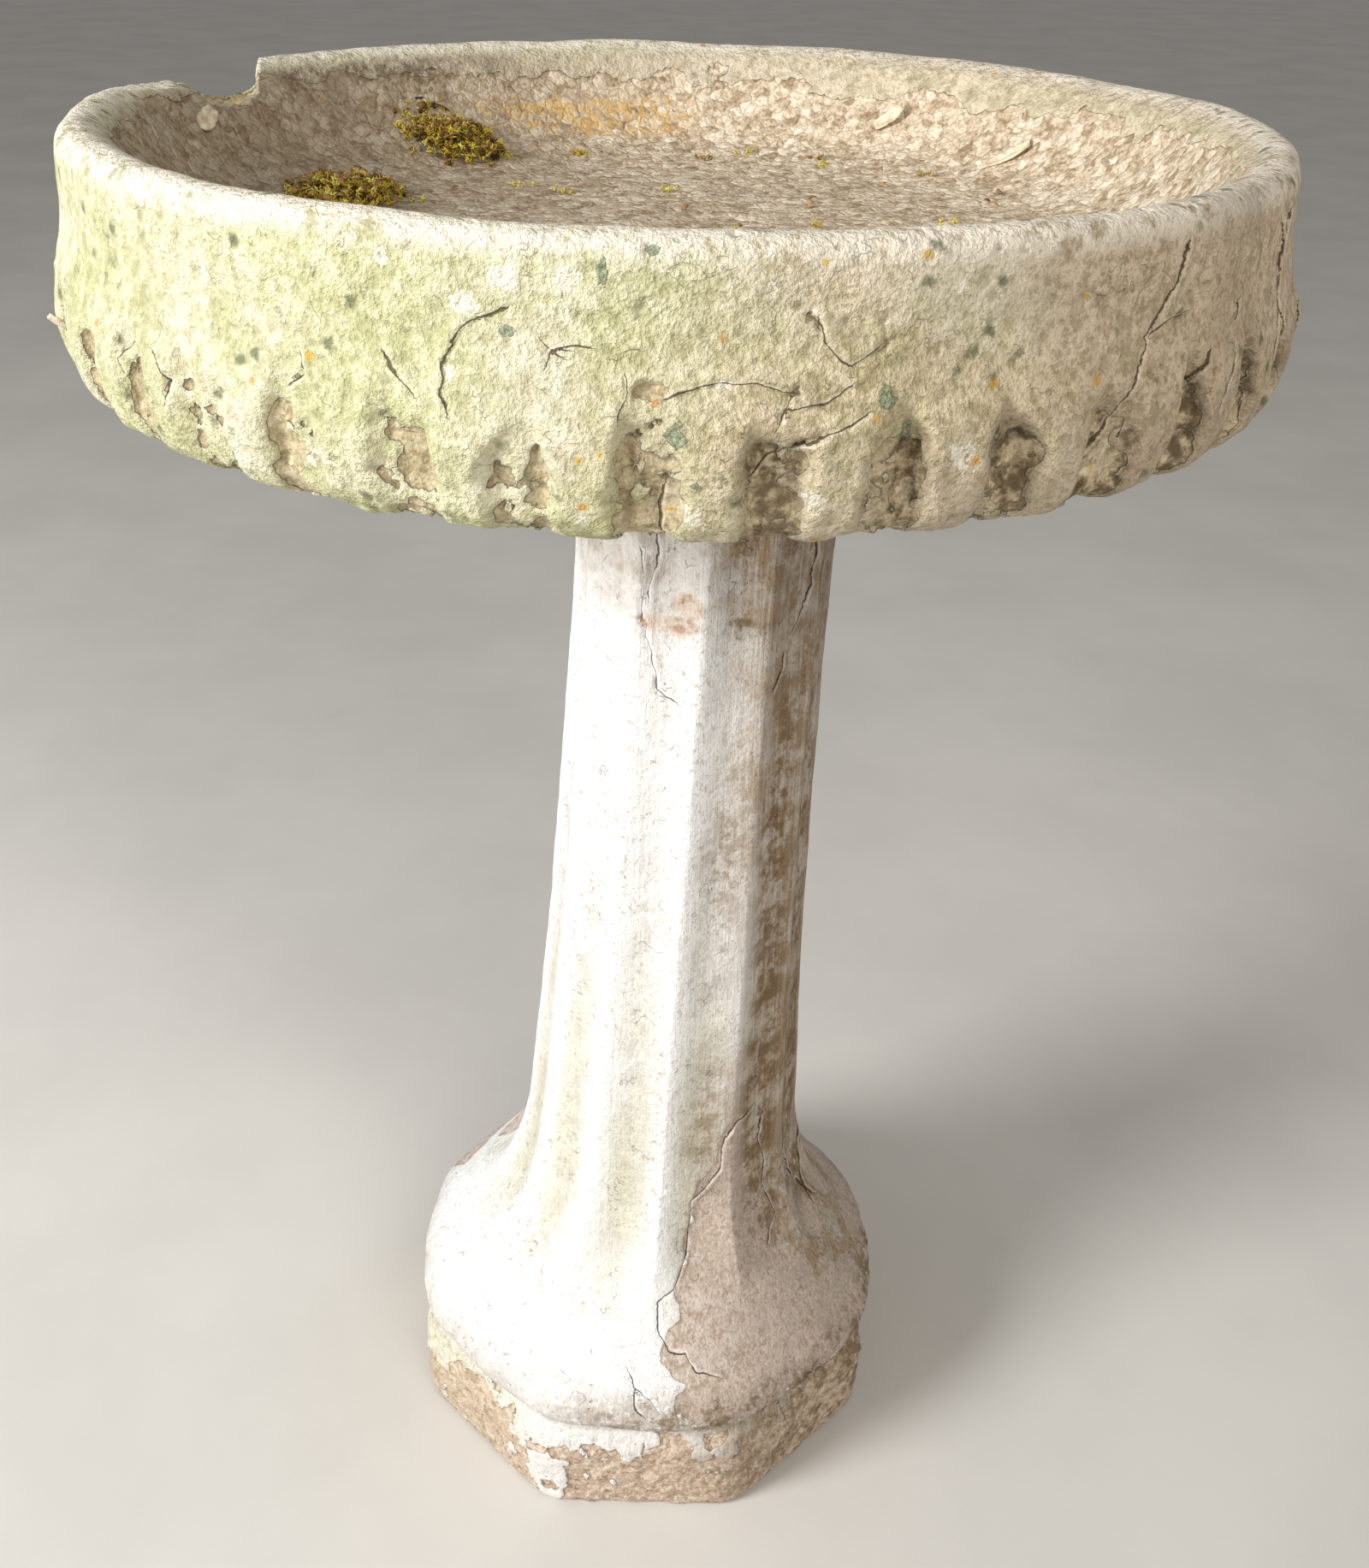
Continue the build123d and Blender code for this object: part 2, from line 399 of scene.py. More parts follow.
PEDESTAL_TURNS = (160.0, 175.0)
CORNER_WITH_PAINT = -114.0   # one corner of the foot has kept its paint
PEDESTAL_CRACKS = [
    (1.1, [(-117.5, 526), (-115.6, 515), (-112.6, 506), (-112.4, 498)]),
    (0.8, [(-112.4, 498), (-115.3, 490), (-115.6, 482)]),
    (0.5, [(-119.5, 503), (-118.6, 489), (-117.9, 478), (-115.2, 466), (-112.4, 459.5), (-111.6, 452)]),
    (0.7, [(-111.6, 452), (-109, 443), (-103.8, 438), (-99.4, 436)]),
    (1.0, [(-40.6, 531), (-39.5, 521), (-37.2, 509)]),
    (0.6, [(-37.2, 509), (-34.6, 499), (-35.8, 483), (-40.6, 466), (-48.5, 456), (-49.2, 447), (-55, 440)]),
    (0.7, [(-34, 521), (-33.5, 506), (-27, 501)]),
    (0.6, [(-45.5, 214), (-52, 211), (-59, 210), (-63.5, 201), (-64.5, 184), (-70, 173), (-76.5, 166)]),
    (0.7, [(-76.5, 166), (-77, 147), (-79, 134), (-83, 124), (-88, 120)]),
    (0.8, [(-88, 120), (-87, 106), (-84.4, 100)]),
    (0.6, [(-84.4, 100), (-80, 98), (-77, 91), (-71, 88)]),
    (0.7, [(-95.4, 93), (-92.6, 86), (-92.0, 80), (-90, 74)]),
    (0.5, [(-92.6, 86), (-88.6, 82), (-86.5, 76)]),
    (0.45, [(-45.5, 214), (-40.5, 204), (-43, 190), (-39, 176), (-40, 158), (-36, 140), (-44, 128)]),
    (0.5, [(-47, 226), (-45, 240), (-43, 256)]),
    (1.0, [(-25, 172), (-17.5, 152), (-14, 140)]),
    (1.1, [(-12, 136), (-8, 122)]),
    (0.7, [(-33, 152), (-29, 166)]),
    (0.7, [(-131, 152), (-129, 146)]),
]
# the outer coat has gone from the front and the right of the bell
PEDESTAL_PLASTER = [
    (-59, 182, 9, 30), (-62, 160, 17, 28), (-60, 138, 26, 24), (-62, 118, 32, 22), (-70, 98, 30, 18),
    (-46, 105, 26, 24), (-34, 86, 40, 16), (-66, 80, 36, 12), (-20, 130, 10, 20),
]
PEDESTAL_SMEARS = [(-105, 472, 15, 4.2), (-98, 480, 9, 4.2), (-68, 469, 14, 3.2), (-74, 473, 8, 2.6)]


# ======================================================================= shader building
class Nodes:
    """Short calls that add nodes to one material. Every call returns an output socket."""

    def __init__(self, name):
        self.material = bpy.data.materials.new(name)
        self.material.use_nodes = True
        self.tree = self.material.node_tree
        self.shader = self.tree.nodes["Principled BSDF"]
        self.place = self.add("ShaderNodeTexCoord", "Object", {})

    def add(self, kind, output, inputs, **settings):
        """Adds a node and returns one output. inputs holds values or sockets by name or position."""
        node = self.tree.nodes.new(kind)
        for key, value in settings.items():
            setattr(node, key, value)
        for key, value in inputs.items():
            self.feed(node.inputs[key], value)
        return node.outputs[output]

    def feed(self, socket, value):
        if isinstance(value, bpy.types.NodeSocket):
            self.tree.links.new(value, socket)
        else:
            socket.default_value = value

    def attribute(self, name):
        return self.add("ShaderNodeAttribute", "Fac", {}, attribute_name=name)

    def stretched(self, x, y, z):
        return self.add("ShaderNodeMapping", "Vector", {"Vector": self.place, "Scale": (x, y, z)})

    def noise(self, size_mm, detail=3.0, rough=0.55, vector=None, colour=False):
        inputs = {"Vector": vector or self.place, "Scale": 1000.0 / size_mm}
        inputs.update({"Detail": detail, "Roughness": rough})
        return self.add("ShaderNodeTexNoise", "Color" if colour else "Fac", inputs)

    def cells(self, size_mm, feature="F1", output="Distance", vector=None):
        inputs = {"Vector": vector or self.place, "Scale": 1000.0 / size_mm}
        return self.add("ShaderNodeTexVoronoi", output, inputs, feature=feature)

    def math(self, operation, a, b=0.0, clamp=False):
        return self.add("ShaderNodeMath", "Value", {0: a, 1: b}, operation=operation, use_clamp=clamp)

    def times(self, a, b, clamp=False):
        return self.math("MULTIPLY", a, b, clamp)

    def plus(self, a, b):
        return self.math("ADD", a, b)

    def minus(self, a, b):
        return self.math("SUBTRACT", a, b)

    def span(self, value, low, high, to_low=0.0, to_high=1.0):
        """value moved from low..high to to_low..to_high along a smooth curve."""
        inputs = {"Value": value, "From Min": low, "From Max": high, "To Min": to_low, "To Max": to_high}
        return self.add("ShaderNodeMapRange", "Result", inputs, interpolation_type="SMOOTHSTEP")

    def mix(self, factor, a, b, blend="MIX"):
        inputs = {"Factor": factor, "A": a, "B": b}
        return self.add("ShaderNodeMix", "Result", inputs, data_type="RGBA", blend_type=blend)

    def ramp(self, value, stops):
        """The colours of (position, colour) stops, from two stops up."""
        ramp = self.add("ShaderNodeValToRGB", "Color", {"Fac": value})
        elements = ramp.node.color_ramp.elements
        while len(elements) < len(stops):
            elements.new(0.5)
        for element, (position, colour) in zip(elements, stops):
            element.position = position
            element.color = colour
        return ramp

    def total(self, *weighted):
        """The sum of (socket, weight) pairs."""
        result = None
        for socket, weight in weighted:
            term = self.times(socket, weight)
            result = term if result is None else self.plus(result, term)
        return result

    def finish(self, colour, roughness, height, relief_mm, specular):
        relief = {"Height": height, "Distance": relief_mm * MM, "Strength": 1.0}
        inputs = {
            "Base Color": colour,
            "Roughness": roughness,
            "Normal": self.add("ShaderNodeBump", "Normal", relief),
            "Specular IOR Level": specular,
        }
        for key, value in inputs.items():
            self.feed(self.shader.inputs[key], value)
        return self.material


def tint(red, green, blue):
    """An sRGB colour, 0 to 255, as the linear colour that a shader takes."""
    linear = []
    for value in (red, green, blue):
        v = value / 255.0
        linear.append(v / 12.92 if v <= 0.04045 else ((v + 0.055) / 1.055) ** 2.4)
    return (*linear, 1.0)


# (red, green, blue) of each colour on the basin and on the pedestal
SURFACE_COLOURS = {
    "paint": ((220, 214, 192), (238, 239, 240)),
    "pale": ((238, 232, 214), (246, 246, 246)),
    "dull": ((200, 190, 162), (224, 221, 216)),
    "algae": ((198, 196, 152), (202, 200, 158)),
    "algae_pale": ((222, 219, 184), (218, 216, 180)),
    "algae_dark": ((172, 171, 126), (168, 164, 118)),
    # tan stain, also used as painted shade on the right side
    "tan_and_shade": ((216, 195, 167), (178, 152, 120)),
    "tan_and_shade_dark": ((166, 143, 114), (122, 98, 68)),
    "under": ((246, 240, 226), (214, 201, 190)),
    "under_dark": ((216, 204, 184), (172, 152, 136)),
    "crest": ((242, 234, 218), (240, 232, 214)),
    # dirt, also used as painted shade in hollows, on the underside, on the right and beside paint edges
    "grime_and_shade": ((92, 76, 52), (108, 86, 56)),
    "speck": ((118, 116, 84), (134, 114, 82)),
    "blot": ((104, 110, 82), (146, 130, 98)),
    "bare": ((194, 177, 146), (196, 174, 153)),
    "bare_pale": ((234, 224, 200), (232, 221, 206)),
    "bare_dark": ((134, 113, 84), (144, 120, 99)),
    "chip": ((214, 197, 172), (186, 164, 132)),
    "chip_pale": ((244, 234, 216), (226, 212, 184)),
    "chip_dark": ((154, 132, 104), (122, 102, 74)),
    "crack": ((82, 62, 40), (66, 50, 34)),
}
ON_BASIN, ON_PEDESTAL = 0, 1


class Weathered(Nodes):
    """Nodes for old paint on cast stone: its colours by name, and the noise that its layers share."""

    def __init__(self, name, casting):
        super().__init__(name)
        self.palette = {key: tint(*colours[casting]) for key, colours in SURFACE_COLOURS.items()}
        self.grain = self.noise(1.7, 3.0, 0.65)
        self.pebbled = self.noise(4.2, 4.0, 0.6)
        self.mottled = self.noise(15.0, 5.0, 0.62)
        self.broad = self.noise(48.0, 4.0, 0.6)
        self.crumbs = self.times(self.minus(self.noise(5.0, 5.0, 0.75), 0.5), 2.6)
        shades = self.total((self.mottled, 0.52), (self.pebbled, 0.80), (self.grain, 0.65))
        self.mixed = self.minus(shades, 0.485)

        # how far inside its own edge the paint is, and its outer coat
        ragged = self.total((self.noise(6.0, 5.0, 0.62), 0.30), (self.grain, 0.10))
        self.field = self.minus(self.plus(self.attribute("paint"), ragged), 0.20)
        self.covered = self.span(self.field, -0.02, 0.02)
        self.bared = self.minus(1.0, self.covered)
        self.edge_shade = self.span(self.field, -0.12, -0.02, 0.0, 0.42)
        self.coat_field = self.minus(self.plus(self.attribute("coat"), ragged), 0.20)
        self.coated = self.span(self.coat_field, -0.02, 0.02)

        # dirt and painted shade from the stored grime, broken into patches
        patches = self.span(self.total((self.mottled, 0.55), (self.pebbled, 0.45)), 0.44, 0.58)
        self.grime_and_shade = self.times(self.attribute("grime_and_shade"), patches, True)

    def shades(self, value, *stops):
        """A ramp through (position, colour name) stops."""
        return self.ramp(value, [(position, self.palette[name]) for position, name in stops])

    def over(self, base, name, amount, share=None):
        """A named colour laid over a base."""
        factor = amount if share is None else self.times(amount, share)
        return self.mix(factor, base, self.palette[name])


def paint_colour(n, brush):
    """Chalky mottled paint, washed with algae on the damp side and with tan on the right, which is partly
    stain and partly painted shade.
    """
    base = n.shades(n.mixed, (0.32, "dull"), (0.50, "paint"), (0.68, "pale"))
    algae = n.shades(n.mixed, (0.32, "algae_dark"), (0.50, "algae"), (0.66, "algae_pale"))
    base = n.mix(n.times(n.attribute("algae"), n.span(n.broad, 0.28, 0.56, 0.25, 1.0), True), base, algae)
    # tan on the right: partly stain, partly painted shade
    tan_and_shade = n.shades(n.mixed, (0.38, "tan_and_shade_dark"), (0.58, "tan_and_shade"))
    base = n.mix(n.times(n.attribute("tan_and_shade"), n.span(n.mottled, 0.34, 0.60, 0.72, 1.0), True), base, tan_and_shade)
    if brush:
        base = n.over(base, "dull", n.span(brush, 0.38, 0.66, 0.0, 0.42))
    clumped = n.span(n.total((n.mottled, 0.5), (n.pebbled, 0.5)), 0.38, 0.52)
    base = n.over(base, "crest", n.times(n.attribute("crest"), clumped), 0.85)
    return n.over(base, "pale", n.span(n.plus(n.attribute("white"), n.crumbs), 0.52, 0.66), 0.85)


def outer_coat(n, base):
    """The base where the outer coat is left, an older surface where it has gone, and a painted highlight and
    painted shade along the coat's edge.
    """
    base = n.mix(n.coated, n.shades(n.mixed, (0.36, "under_dark"), (0.60, "under")), base)
    # painted highlight along the edge of the coat, and painted shade beside it
    base = n.over(base, "pale", n.times(n.coated, n.span(n.coat_field, 0.10, 0.0)), 0.35)
    shaded = n.times(n.span(n.coat_field, -0.09, -0.01), n.minus(1.0, n.coated))
    return n.over(base, "grime_and_shade", shaded, 0.28)


def dirt_on_paint(n, base):
    """Dark specks and blots of several sizes, and dirt and painted shade in the hollows and on the right."""
    specks = n.times(n.span(n.noise(3.4, 3.0, 0.75), 0.57, 0.66), n.span(n.broad, 0.36, 0.58, 0.3, 1.0))
    base = n.over(base, "speck", specks, 0.50)
    blots = n.minus(1.0, n.span(n.plus(n.cells(11.0), n.times(n.pebbled, 0.50)), 0.34, 0.52))
    blots = n.times(blots, n.span(n.noise(44.0, 3.0), 0.44, 0.56))
    base = n.over(base, "blot", n.times(blots, n.attribute("lichen")), 0.78)
    return n.over(base, "grime_and_shade", n.grime_and_shade, 0.85)


def bare_stone(n):
    """Cast stone: sand with small stones, some dark and some pale, darkened by dirt and painted shade, and a
    line of painted shade beside the paint.
    """
    stones, coarse, fine = n.cells(2.6, output="Color"), n.noise(7.0, 6.0, 0.72), n.noise(1.2, 3.0, 0.7)
    mixed = n.minus(n.total((stones, 0.26), (coarse, 0.50), (fine, 0.62)), 0.17)
    bare = n.shades(mixed, (0.30, "bare_dark"), (0.52, "bare"), (0.78, "bare_pale"))
    bare = n.over(bare, "algae_dark", n.attribute("algae"), 0.20)
    bare = n.over(bare, "grime_and_shade", n.grime_and_shade, 0.90)
    return n.over(bare, "grime_and_shade", n.edge_shade)


def bowl_chips(n):
    """The colour and the height of the chips of stone on the inside of the bowl."""
    push = {0: n.noise(5.0, 2.0, 0.6, colour=True), 1: (0.006, 0.006, 0.006), 2: n.place}
    warped = n.add("ShaderNodeVectorMath", "Vector", push, operation="MULTIPLY_ADD")
    chip = n.cells(5.2, output="Color", vector=warped)
    edge = n.cells(5.2, "DISTANCE_TO_EDGE", vector=warped)
    mixed = n.minus(n.total((chip, 0.34), (n.pebbled, 0.75), (n.grain, 0.60)), 0.345)
    stone = n.shades(mixed, (0.30, "chip_dark"), (0.52, "chip"), (0.78, "chip_pale"))
    stone = n.over(stone, "chip_dark", n.span(edge, 0.0, 0.09, 0.45, 0.0))
    stone = n.over(stone, "grime_and_shade", n.edge_shade)
    # painted shadow on the left of the bowl, and dirt, from the stored grime
    stone = n.over(stone, "grime_and_shade", n.attribute("grime_and_shade"), 0.42)
    stone = n.over(stone, "grime_and_shade", n.grime_and_shade, 0.25)
    height = n.total((chip, 0.70), (n.math("MINIMUM", edge, 0.25), 1.2), (n.grain, 0.40), (n.pebbled, 0.90))
    return stone, height


def crack_lines(n, colour):
    """The stored cracks with a painted highlight along one side, and small curved ones at the borders of
    flakes, over a colour.
    """
    wobble = n.times(n.minus(n.noise(2.6, 3.0, 0.6), 0.5), 1.6)
    narrowing = n.span(n.noise(13.0, 2.0), 0.35, 0.68, 0.60, 2.0)
    signed = n.times(n.plus(n.attribute("crack"), wobble), narrowing)
    stored = n.times(n.span(n.math("ABSOLUTE", signed), 0.40, 0.12), n.attribute("near"), True)
    # painted highlight along the raised side of each crack
    lip_highlight = n.times(n.times(n.span(signed, 0.5, 0.8), n.span(signed, 2.2, 1.2)), n.attribute("near"), True)
    colour = n.over(colour, "pale", lip_highlight, 0.30)
    curl = n.math("ABSOLUTE", n.minus(n.noise(13.0, 3.0, 0.55), 0.5))
    curl = n.times(n.span(curl, 0.008, 0.001), n.span(n.noise(11.0, 2.0), 0.56, 0.61))
    line = n.math("MAXIMUM", stored, n.times(curl, n.times(n.attribute("flaky"), 0.6)))
    return n.over(colour, "crack", line, 0.86), line


def lichen_growth(n, colour):
    """Orange and yellow dots, blue-green crusts and yellow crumbs over a colour, and where the crusts are."""
    dots = n.plus(n.cells(21.0), n.times(n.pebbled, 0.06))
    dots = n.times(n.span(dots, 0.115, 0.085), n.span(n.noise(70.0, 2.0), 0.47, 0.56))
    dots = n.math("MAXIMUM", n.times(dots, n.attribute("lichen")), n.attribute("orange"))
    orange = n.ramp(n.noise(28.0, 1.0), [(0.42, tint(206, 142, 70)), (0.60, tint(204, 172, 66))])
    colour = n.mix(n.times(dots, 0.85), colour, orange)
    crusts = n.span(n.minus(n.attribute("crust"), n.crumbs), 0.52, 0.66)
    crust = n.ramp(n.noise(1.8, 3.0, 0.7), [(0.36, tint(96, 108, 84)), (0.64, tint(160, 174, 144))])
    colour = n.mix(n.times(crusts, 0.80), colour, crust)
    yellow = n.span(n.total((n.attribute("yellow"), 1.0), (n.noise(4.0, 4.0, 0.7), 0.9)), 0.98, 1.10)
    return n.mix(n.times(yellow, 0.65), colour, tint(206, 166, 92)), crusts


def weathered_paint(name, casting, pebbles, streaks):
    """Old masonry paint over plaster over cast stone. Point attributes say what shows, how dirty it is and
    where shade is painted.
    """
    n = Weathered(name, casting)
    brush = n.noise(1.9, 4.0, 0.66, vector=n.stretched(1.0, 1.0, 0.035)) if streaks else None
    base = dirt_on_paint(n, outer_coat(n, paint_colour(n, brush)))
    colour = n.mix(n.covered, bare_stone(n), base)
    # painted highlight along the raised edge of the paint
    colour = n.over(colour, "pale", n.times(n.covered, n.span(n.field, 0.09, 0.0)), 0.40)
    chips, chip_height = bowl_chips(n)
    stony = n.times(n.attribute("chips"), n.bared)
    colour, line = crack_lines(n, n.mix(stony, colour, chips))
    colour, crusts = lichen_growth(n, colour)

    bare_height = n.total((n.pebbled, 1.0), (n.grain, 0.5), (n.cells(3.6), -0.35))
    bare_height = n.plus(bare_height, n.times(stony, n.minus(chip_height, bare_height)))
    paint_height = n.total((n.pebbled, pebbles), (n.grain, pebbles * 0.9), (n.mottled, 0.45))
    if brush:
        paint_height = n.plus(paint_height, n.times(brush, 0.45))
    height = n.total(
        (n.times(bare_height, n.bared), 1.0),
        (n.times(paint_height, n.covered), 1.0),
        (n.covered, 0.35),
        (n.times(n.coated, n.covered), 0.30),
        (crusts, 0.25),
        (n.times(crusts, n.grain), 0.5),
        (line, -0.8),
    )
    return n.finish(colour, n.span(n.covered, 0.0, 1.0, 0.95, 0.82), height, 1.3, 0.22)


# ======================================================================= basin
def basin_zones():
    bottom, rim, wall, seat = BASIN_BOTTOM_Z, RIM_Z, WALL_RADIUS, SEAT_Z
    band_edge = (BAND_INSIDE, bottom - 1)
    floor_edge = (140.0, FLOOR_Z + 0.3)
    outer = smooth_path([
        band_edge, (216, bottom + 0.5), (223, bottom + 4), (228, bottom + 11), (231, bottom + 24),
        (230.6, bottom + 36), (227, bottom + 48), (wall + 0.6, bottom + 60), (wall, bottom + 72),
        (wall - 1.0, rim - 4.6), (wall - 5.0, rim - 0.4), (wall - 12, rim - 0.7), (wall - 18.5, rim - 5),
        (wall - 24, rim - 12),
    ], 1.15)
    inner = smooth_path([
        (wall - 24, rim - 12), (wall - 30, rim - 20.5), (wall - 37, rim - 29), (wall - 47, rim - 36.5),
        (wall - 62, rim - 42), floor_edge,
    ], 1.5)
    boss_side = smooth_path([(55, seat), (79, seat), (82, seat + 2), (84, seat + 8), (90, seat + 9.5)], 2.5)
    return [
        *flat_zones(BASIN_SOCKET_Z, (0, SOCKET_RADIUS, SOCKET_RADIUS, 45)),
        (straight_path([(SOCKET_RADIUS, BASIN_SOCKET_Z), (SOCKET_RADIUS, seat)], 6.0), 45),
        *flat_zones(seat, (SOCKET_RADIUS, 30, 5.0, 45), (30, 55, 6.0, 90)),
        (boss_side, 180),
        (straight_path([(90, seat + 9.5), (150, seat + 15)], 3.0), 360),
        (straight_path([(150, seat + 15), band_edge], 2.2), 720),
        (outer, 1440),
        (inner, 720),
        (straight_path([floor_edge, (70, FLOOR_Z)], 1.6), 720),
        *flat_zones(FLOOR_Z, (70, 35, 2.0, 360), (35, 16, 2.4, 180), (16, 7, 3.0, 90), (7, 0, 3.5, 45)),
    ]


def shape_scallops(surface):
    """Presses the hollows between the ribs into the lower band. Returns how deep in one each point is."""
    bottom = BASIN_BOTTOM_Z
    on_band = smooth(BAND_INSIDE, BAND_INSIDE + 10, surface.radius)
    wander = 0.020 * surface.around(6.0, 11)
    turn = SCALLOPS * (surface.angle + wander - FIRST_SCALLOP)
    across = 0.5 + 0.5 * np.cos(turn) + 0.22 * surface.noise(12.0, 2, 15)
    hollow = smooth(0.16, 0.80, across)
    strength = np.clip(1.0 + 1.1 * surface.around(12.0, 12), 0.30, 1.6)
    top = bottom + BAND_HEIGHT - 12.0 * (1.0 - np.clip(across, 0, 1))
    top += 16.0 * surface.around(13.0, 13)
    outside = (surface.radius > BAND_INSIDE) * (surface.height < RIM_Z - 35.0)
    band = on_band * smooth(2.0, -11.0, surface.height - top) * outside
    depth = hollow * band * strength * (0.85 + 0.25 * np.cos(surface.angle))
    reach = 0.5 + 5.2 * smooth(bottom + 1, bottom + 20, surface.height)
    swell = (1.0 - hollow) * on_band * smooth(6.0, -10.0, surface.height - top) * outside
    surface.radius = surface.radius - reach * depth + 0.9 * swell
    surface.height = surface.height + 0.6 * depth * smooth(bottom + 14, bottom, surface.height)
    return depth


def break_rim(surface):
    """Breaks a piece out of the rim. Returns where the stone is broken."""
    skew = BREAK_SKEW * (surface.radius - RIM_MIDDLE)
    reach = (surface.angle + skew - BREAK_ANGLE) * RIM_MIDDLE
    reach = reach + 1.2 * gradient_noise(surface.flat / 6.0, 22)
    profile_at = [-1.0, 0.5, 2.0, 6.0, 13.0, 25.0, 34.0, 39.0, 44.0, 58.0, 90.0, 112.0]
    profile_drop = [0.0, 3.0, 10.5, 12.5, 14.8, 14.5, 13.0, 10.0, 7.0, 4.0, 1.4, 0.0]
    drop = np.interp(reach, profile_at, profile_drop)
    limit = RIM_Z - drop + 1.5 * surface.noise(7.0, 3, 21) * smooth(1.0, 8.0, drop)
    over = np.where(drop > 0.05, np.maximum(surface.height - limit, 0.0), 0.0)
    over *= surface.radius > 180.0
    surface.height = surface.height - over
    pinch = 1.0 - 0.25 * np.clip(over / 16.0, 0.0, 1.0)
    pinched = RIM_MIDDLE + (surface.radius - RIM_MIDDLE) * pinch
    surface.radius = np.where(over > 0, pinched, surface.radius)
    return smooth(0.5, 3.0, over) * smooth(5.0, 8.0, drop)


def make_basin():
    surface = Turned(basin_zones())
    flat, noise = surface.flat, surface.noise
    crest = np.argmin(np.abs(surface.radius - (WALL_RADIUS - 8.0)) + np.abs(surface.height - RIM_Z))
    inward = surface.along - surface.along[crest]
    inside = smooth(6.0, 14.0, inward)
    outside = 1.0 - inside
    level = surface.height.copy()
    hollow = shape_scallops(surface)
    surface.height = surface.height + 0.9 * surface.around(3.0, 14) * smooth(30, 12, np.abs(inward))
    broken = break_rim(surface)
    points = surface.points()
    normals = vertex_normals(points, surface.quads, surface.triangles)

    bottom = BASIN_BOTTOM_Z
    low_band = smooth(bottom + BAND_HEIGHT, bottom + 26, level) * outside
    underside = smooth(214, 204, surface.radius) * (level < bottom + 6) * outside
    left = -points[:, 0] / WALL_RADIUS
    back = points[:, 1] / WALL_RADIUS
    wide = noise(85.0, 2, 35)
    fine = noise(7.0, 4, 33)

    # how much paint remains: little in the hollows, below the crest and on the underside, none in the bowl
    edge = 13.0 + 8.0 * surface.around(7.0, 36) + 10.0 * smooth(0.35, 0.9, back)
    edge += 6.0 * noise(16.0, 3, 66)
    edge += 7.0 * smooth(0.1, 0.75, -left) * smooth(-0.2, 0.3, back)
    coverage = 0.69 + 0.16 * wide
    worn = np.clip(1.05 + 0.95 * surface.around(12.0, 37), 0.1, 1.8)
    coverage -= np.clip(hollow, 0, 1.2) * low_band * worn
    coverage -= 0.16 * low_band + 0.10 * smooth(9, 2, np.abs(inward))
    bowl_edge = 1.3 * smooth(edge - 4, edge + 5, inward) + 1.2 * smooth(edge + 6, edge + 22, inward)
    coverage -= bowl_edge + 0.7 * underside
    coverage -= 0.45 * smooth(10, 16, inward) * smooth(90, 60, inward) * smooth(0.3, -0.3, fine)
    wall = (inward < -4.0) & (level > bottom + 1.0)
    marks = Marks(surface, level, np.full(len(level), BAND_RADIUS), wall, fine, BASIN_TURNS)
    crack, plain = marks.cracks(BASIN_CRACKS, 1.2 * noise(9.0, 2, 41))
    holes = marks.spots(BASIN_HOLES)
    gap = smooth(2.6, 0.8, plain) * (crack < 0) * smooth(0.05, 0.40, gradient_noise(flat / 11.0, 43))
    paint = coverage + 0.46 * noise(26.0, 4, 31)
    upper_wall = wall & (level > bottom + 38) & (hollow < 0.3)
    paint = np.where(upper_wall, np.maximum(paint, 0.30), paint)
    paint += 1.05 * low_band * np.clip(hollow, 0, 1) * noise(7.0, 3, 65)
    paint = paint - 0.9 * gap - 1.2 * holes
    paint = np.where(broken > 0.4, -0.6, paint)
    coat = 0.66 + 0.42 * noise(15.0, 3, 45) + 0.3 * wide

    # how far each point moves out: uneven casting, coats of paint, lifted flakes, cracks and pits
    covered = smooth(-0.05, 0.05, paint)
    bare = 1.0 - covered
    coated = smooth(-0.05, 0.05, coat)
    move = 1.0 * noise(75.0, 2, 51) + 0.45 * noise(20.0, 2, 53)
    move += (0.14 + 0.45 * bare * outside) * noise(5.5, 3, 55)
    move += 0.9 * covered + 0.35 * covered * coated
    lift = smooth(0.0, 0.5, noise(22.0, 2, 57))
    move += 1.1 * lift * covered * np.exp(-np.clip(paint, 0, 5) / 0.08)
    flap = smooth(5.0, 0.5, plain) * (crack > 0) * smooth(-0.3, 0.5, gradient_noise(flat / 14.0, 58))
    move += 1.2 * flap - 0.9 * outside
    move -= 0.55 * np.exp(-(plain / 0.8) ** 2) + 1.5 * holes
    pits = smooth(0.48, 0.75, noise(6.0, 2, 59))
    move -= 1.0 * pits * outside
    move += 0.8 * inside * np.floor(noise(10.0, 3, 60) * 4.0) / 4.0
    edge_wear = smooth(12.0, 3.0, np.abs(level - bottom - 2.0)) * outside
    move += 1.3 * edge_wear * noise(12.0, 3, 62)
    still = smooth(SEAT_Z + 1.5, SEAT_Z + 8.0, level) * smooth(14.0, 24.0, surface.radius + 30.0 * inside)
    points = points + normals * (move * still)[:, None]
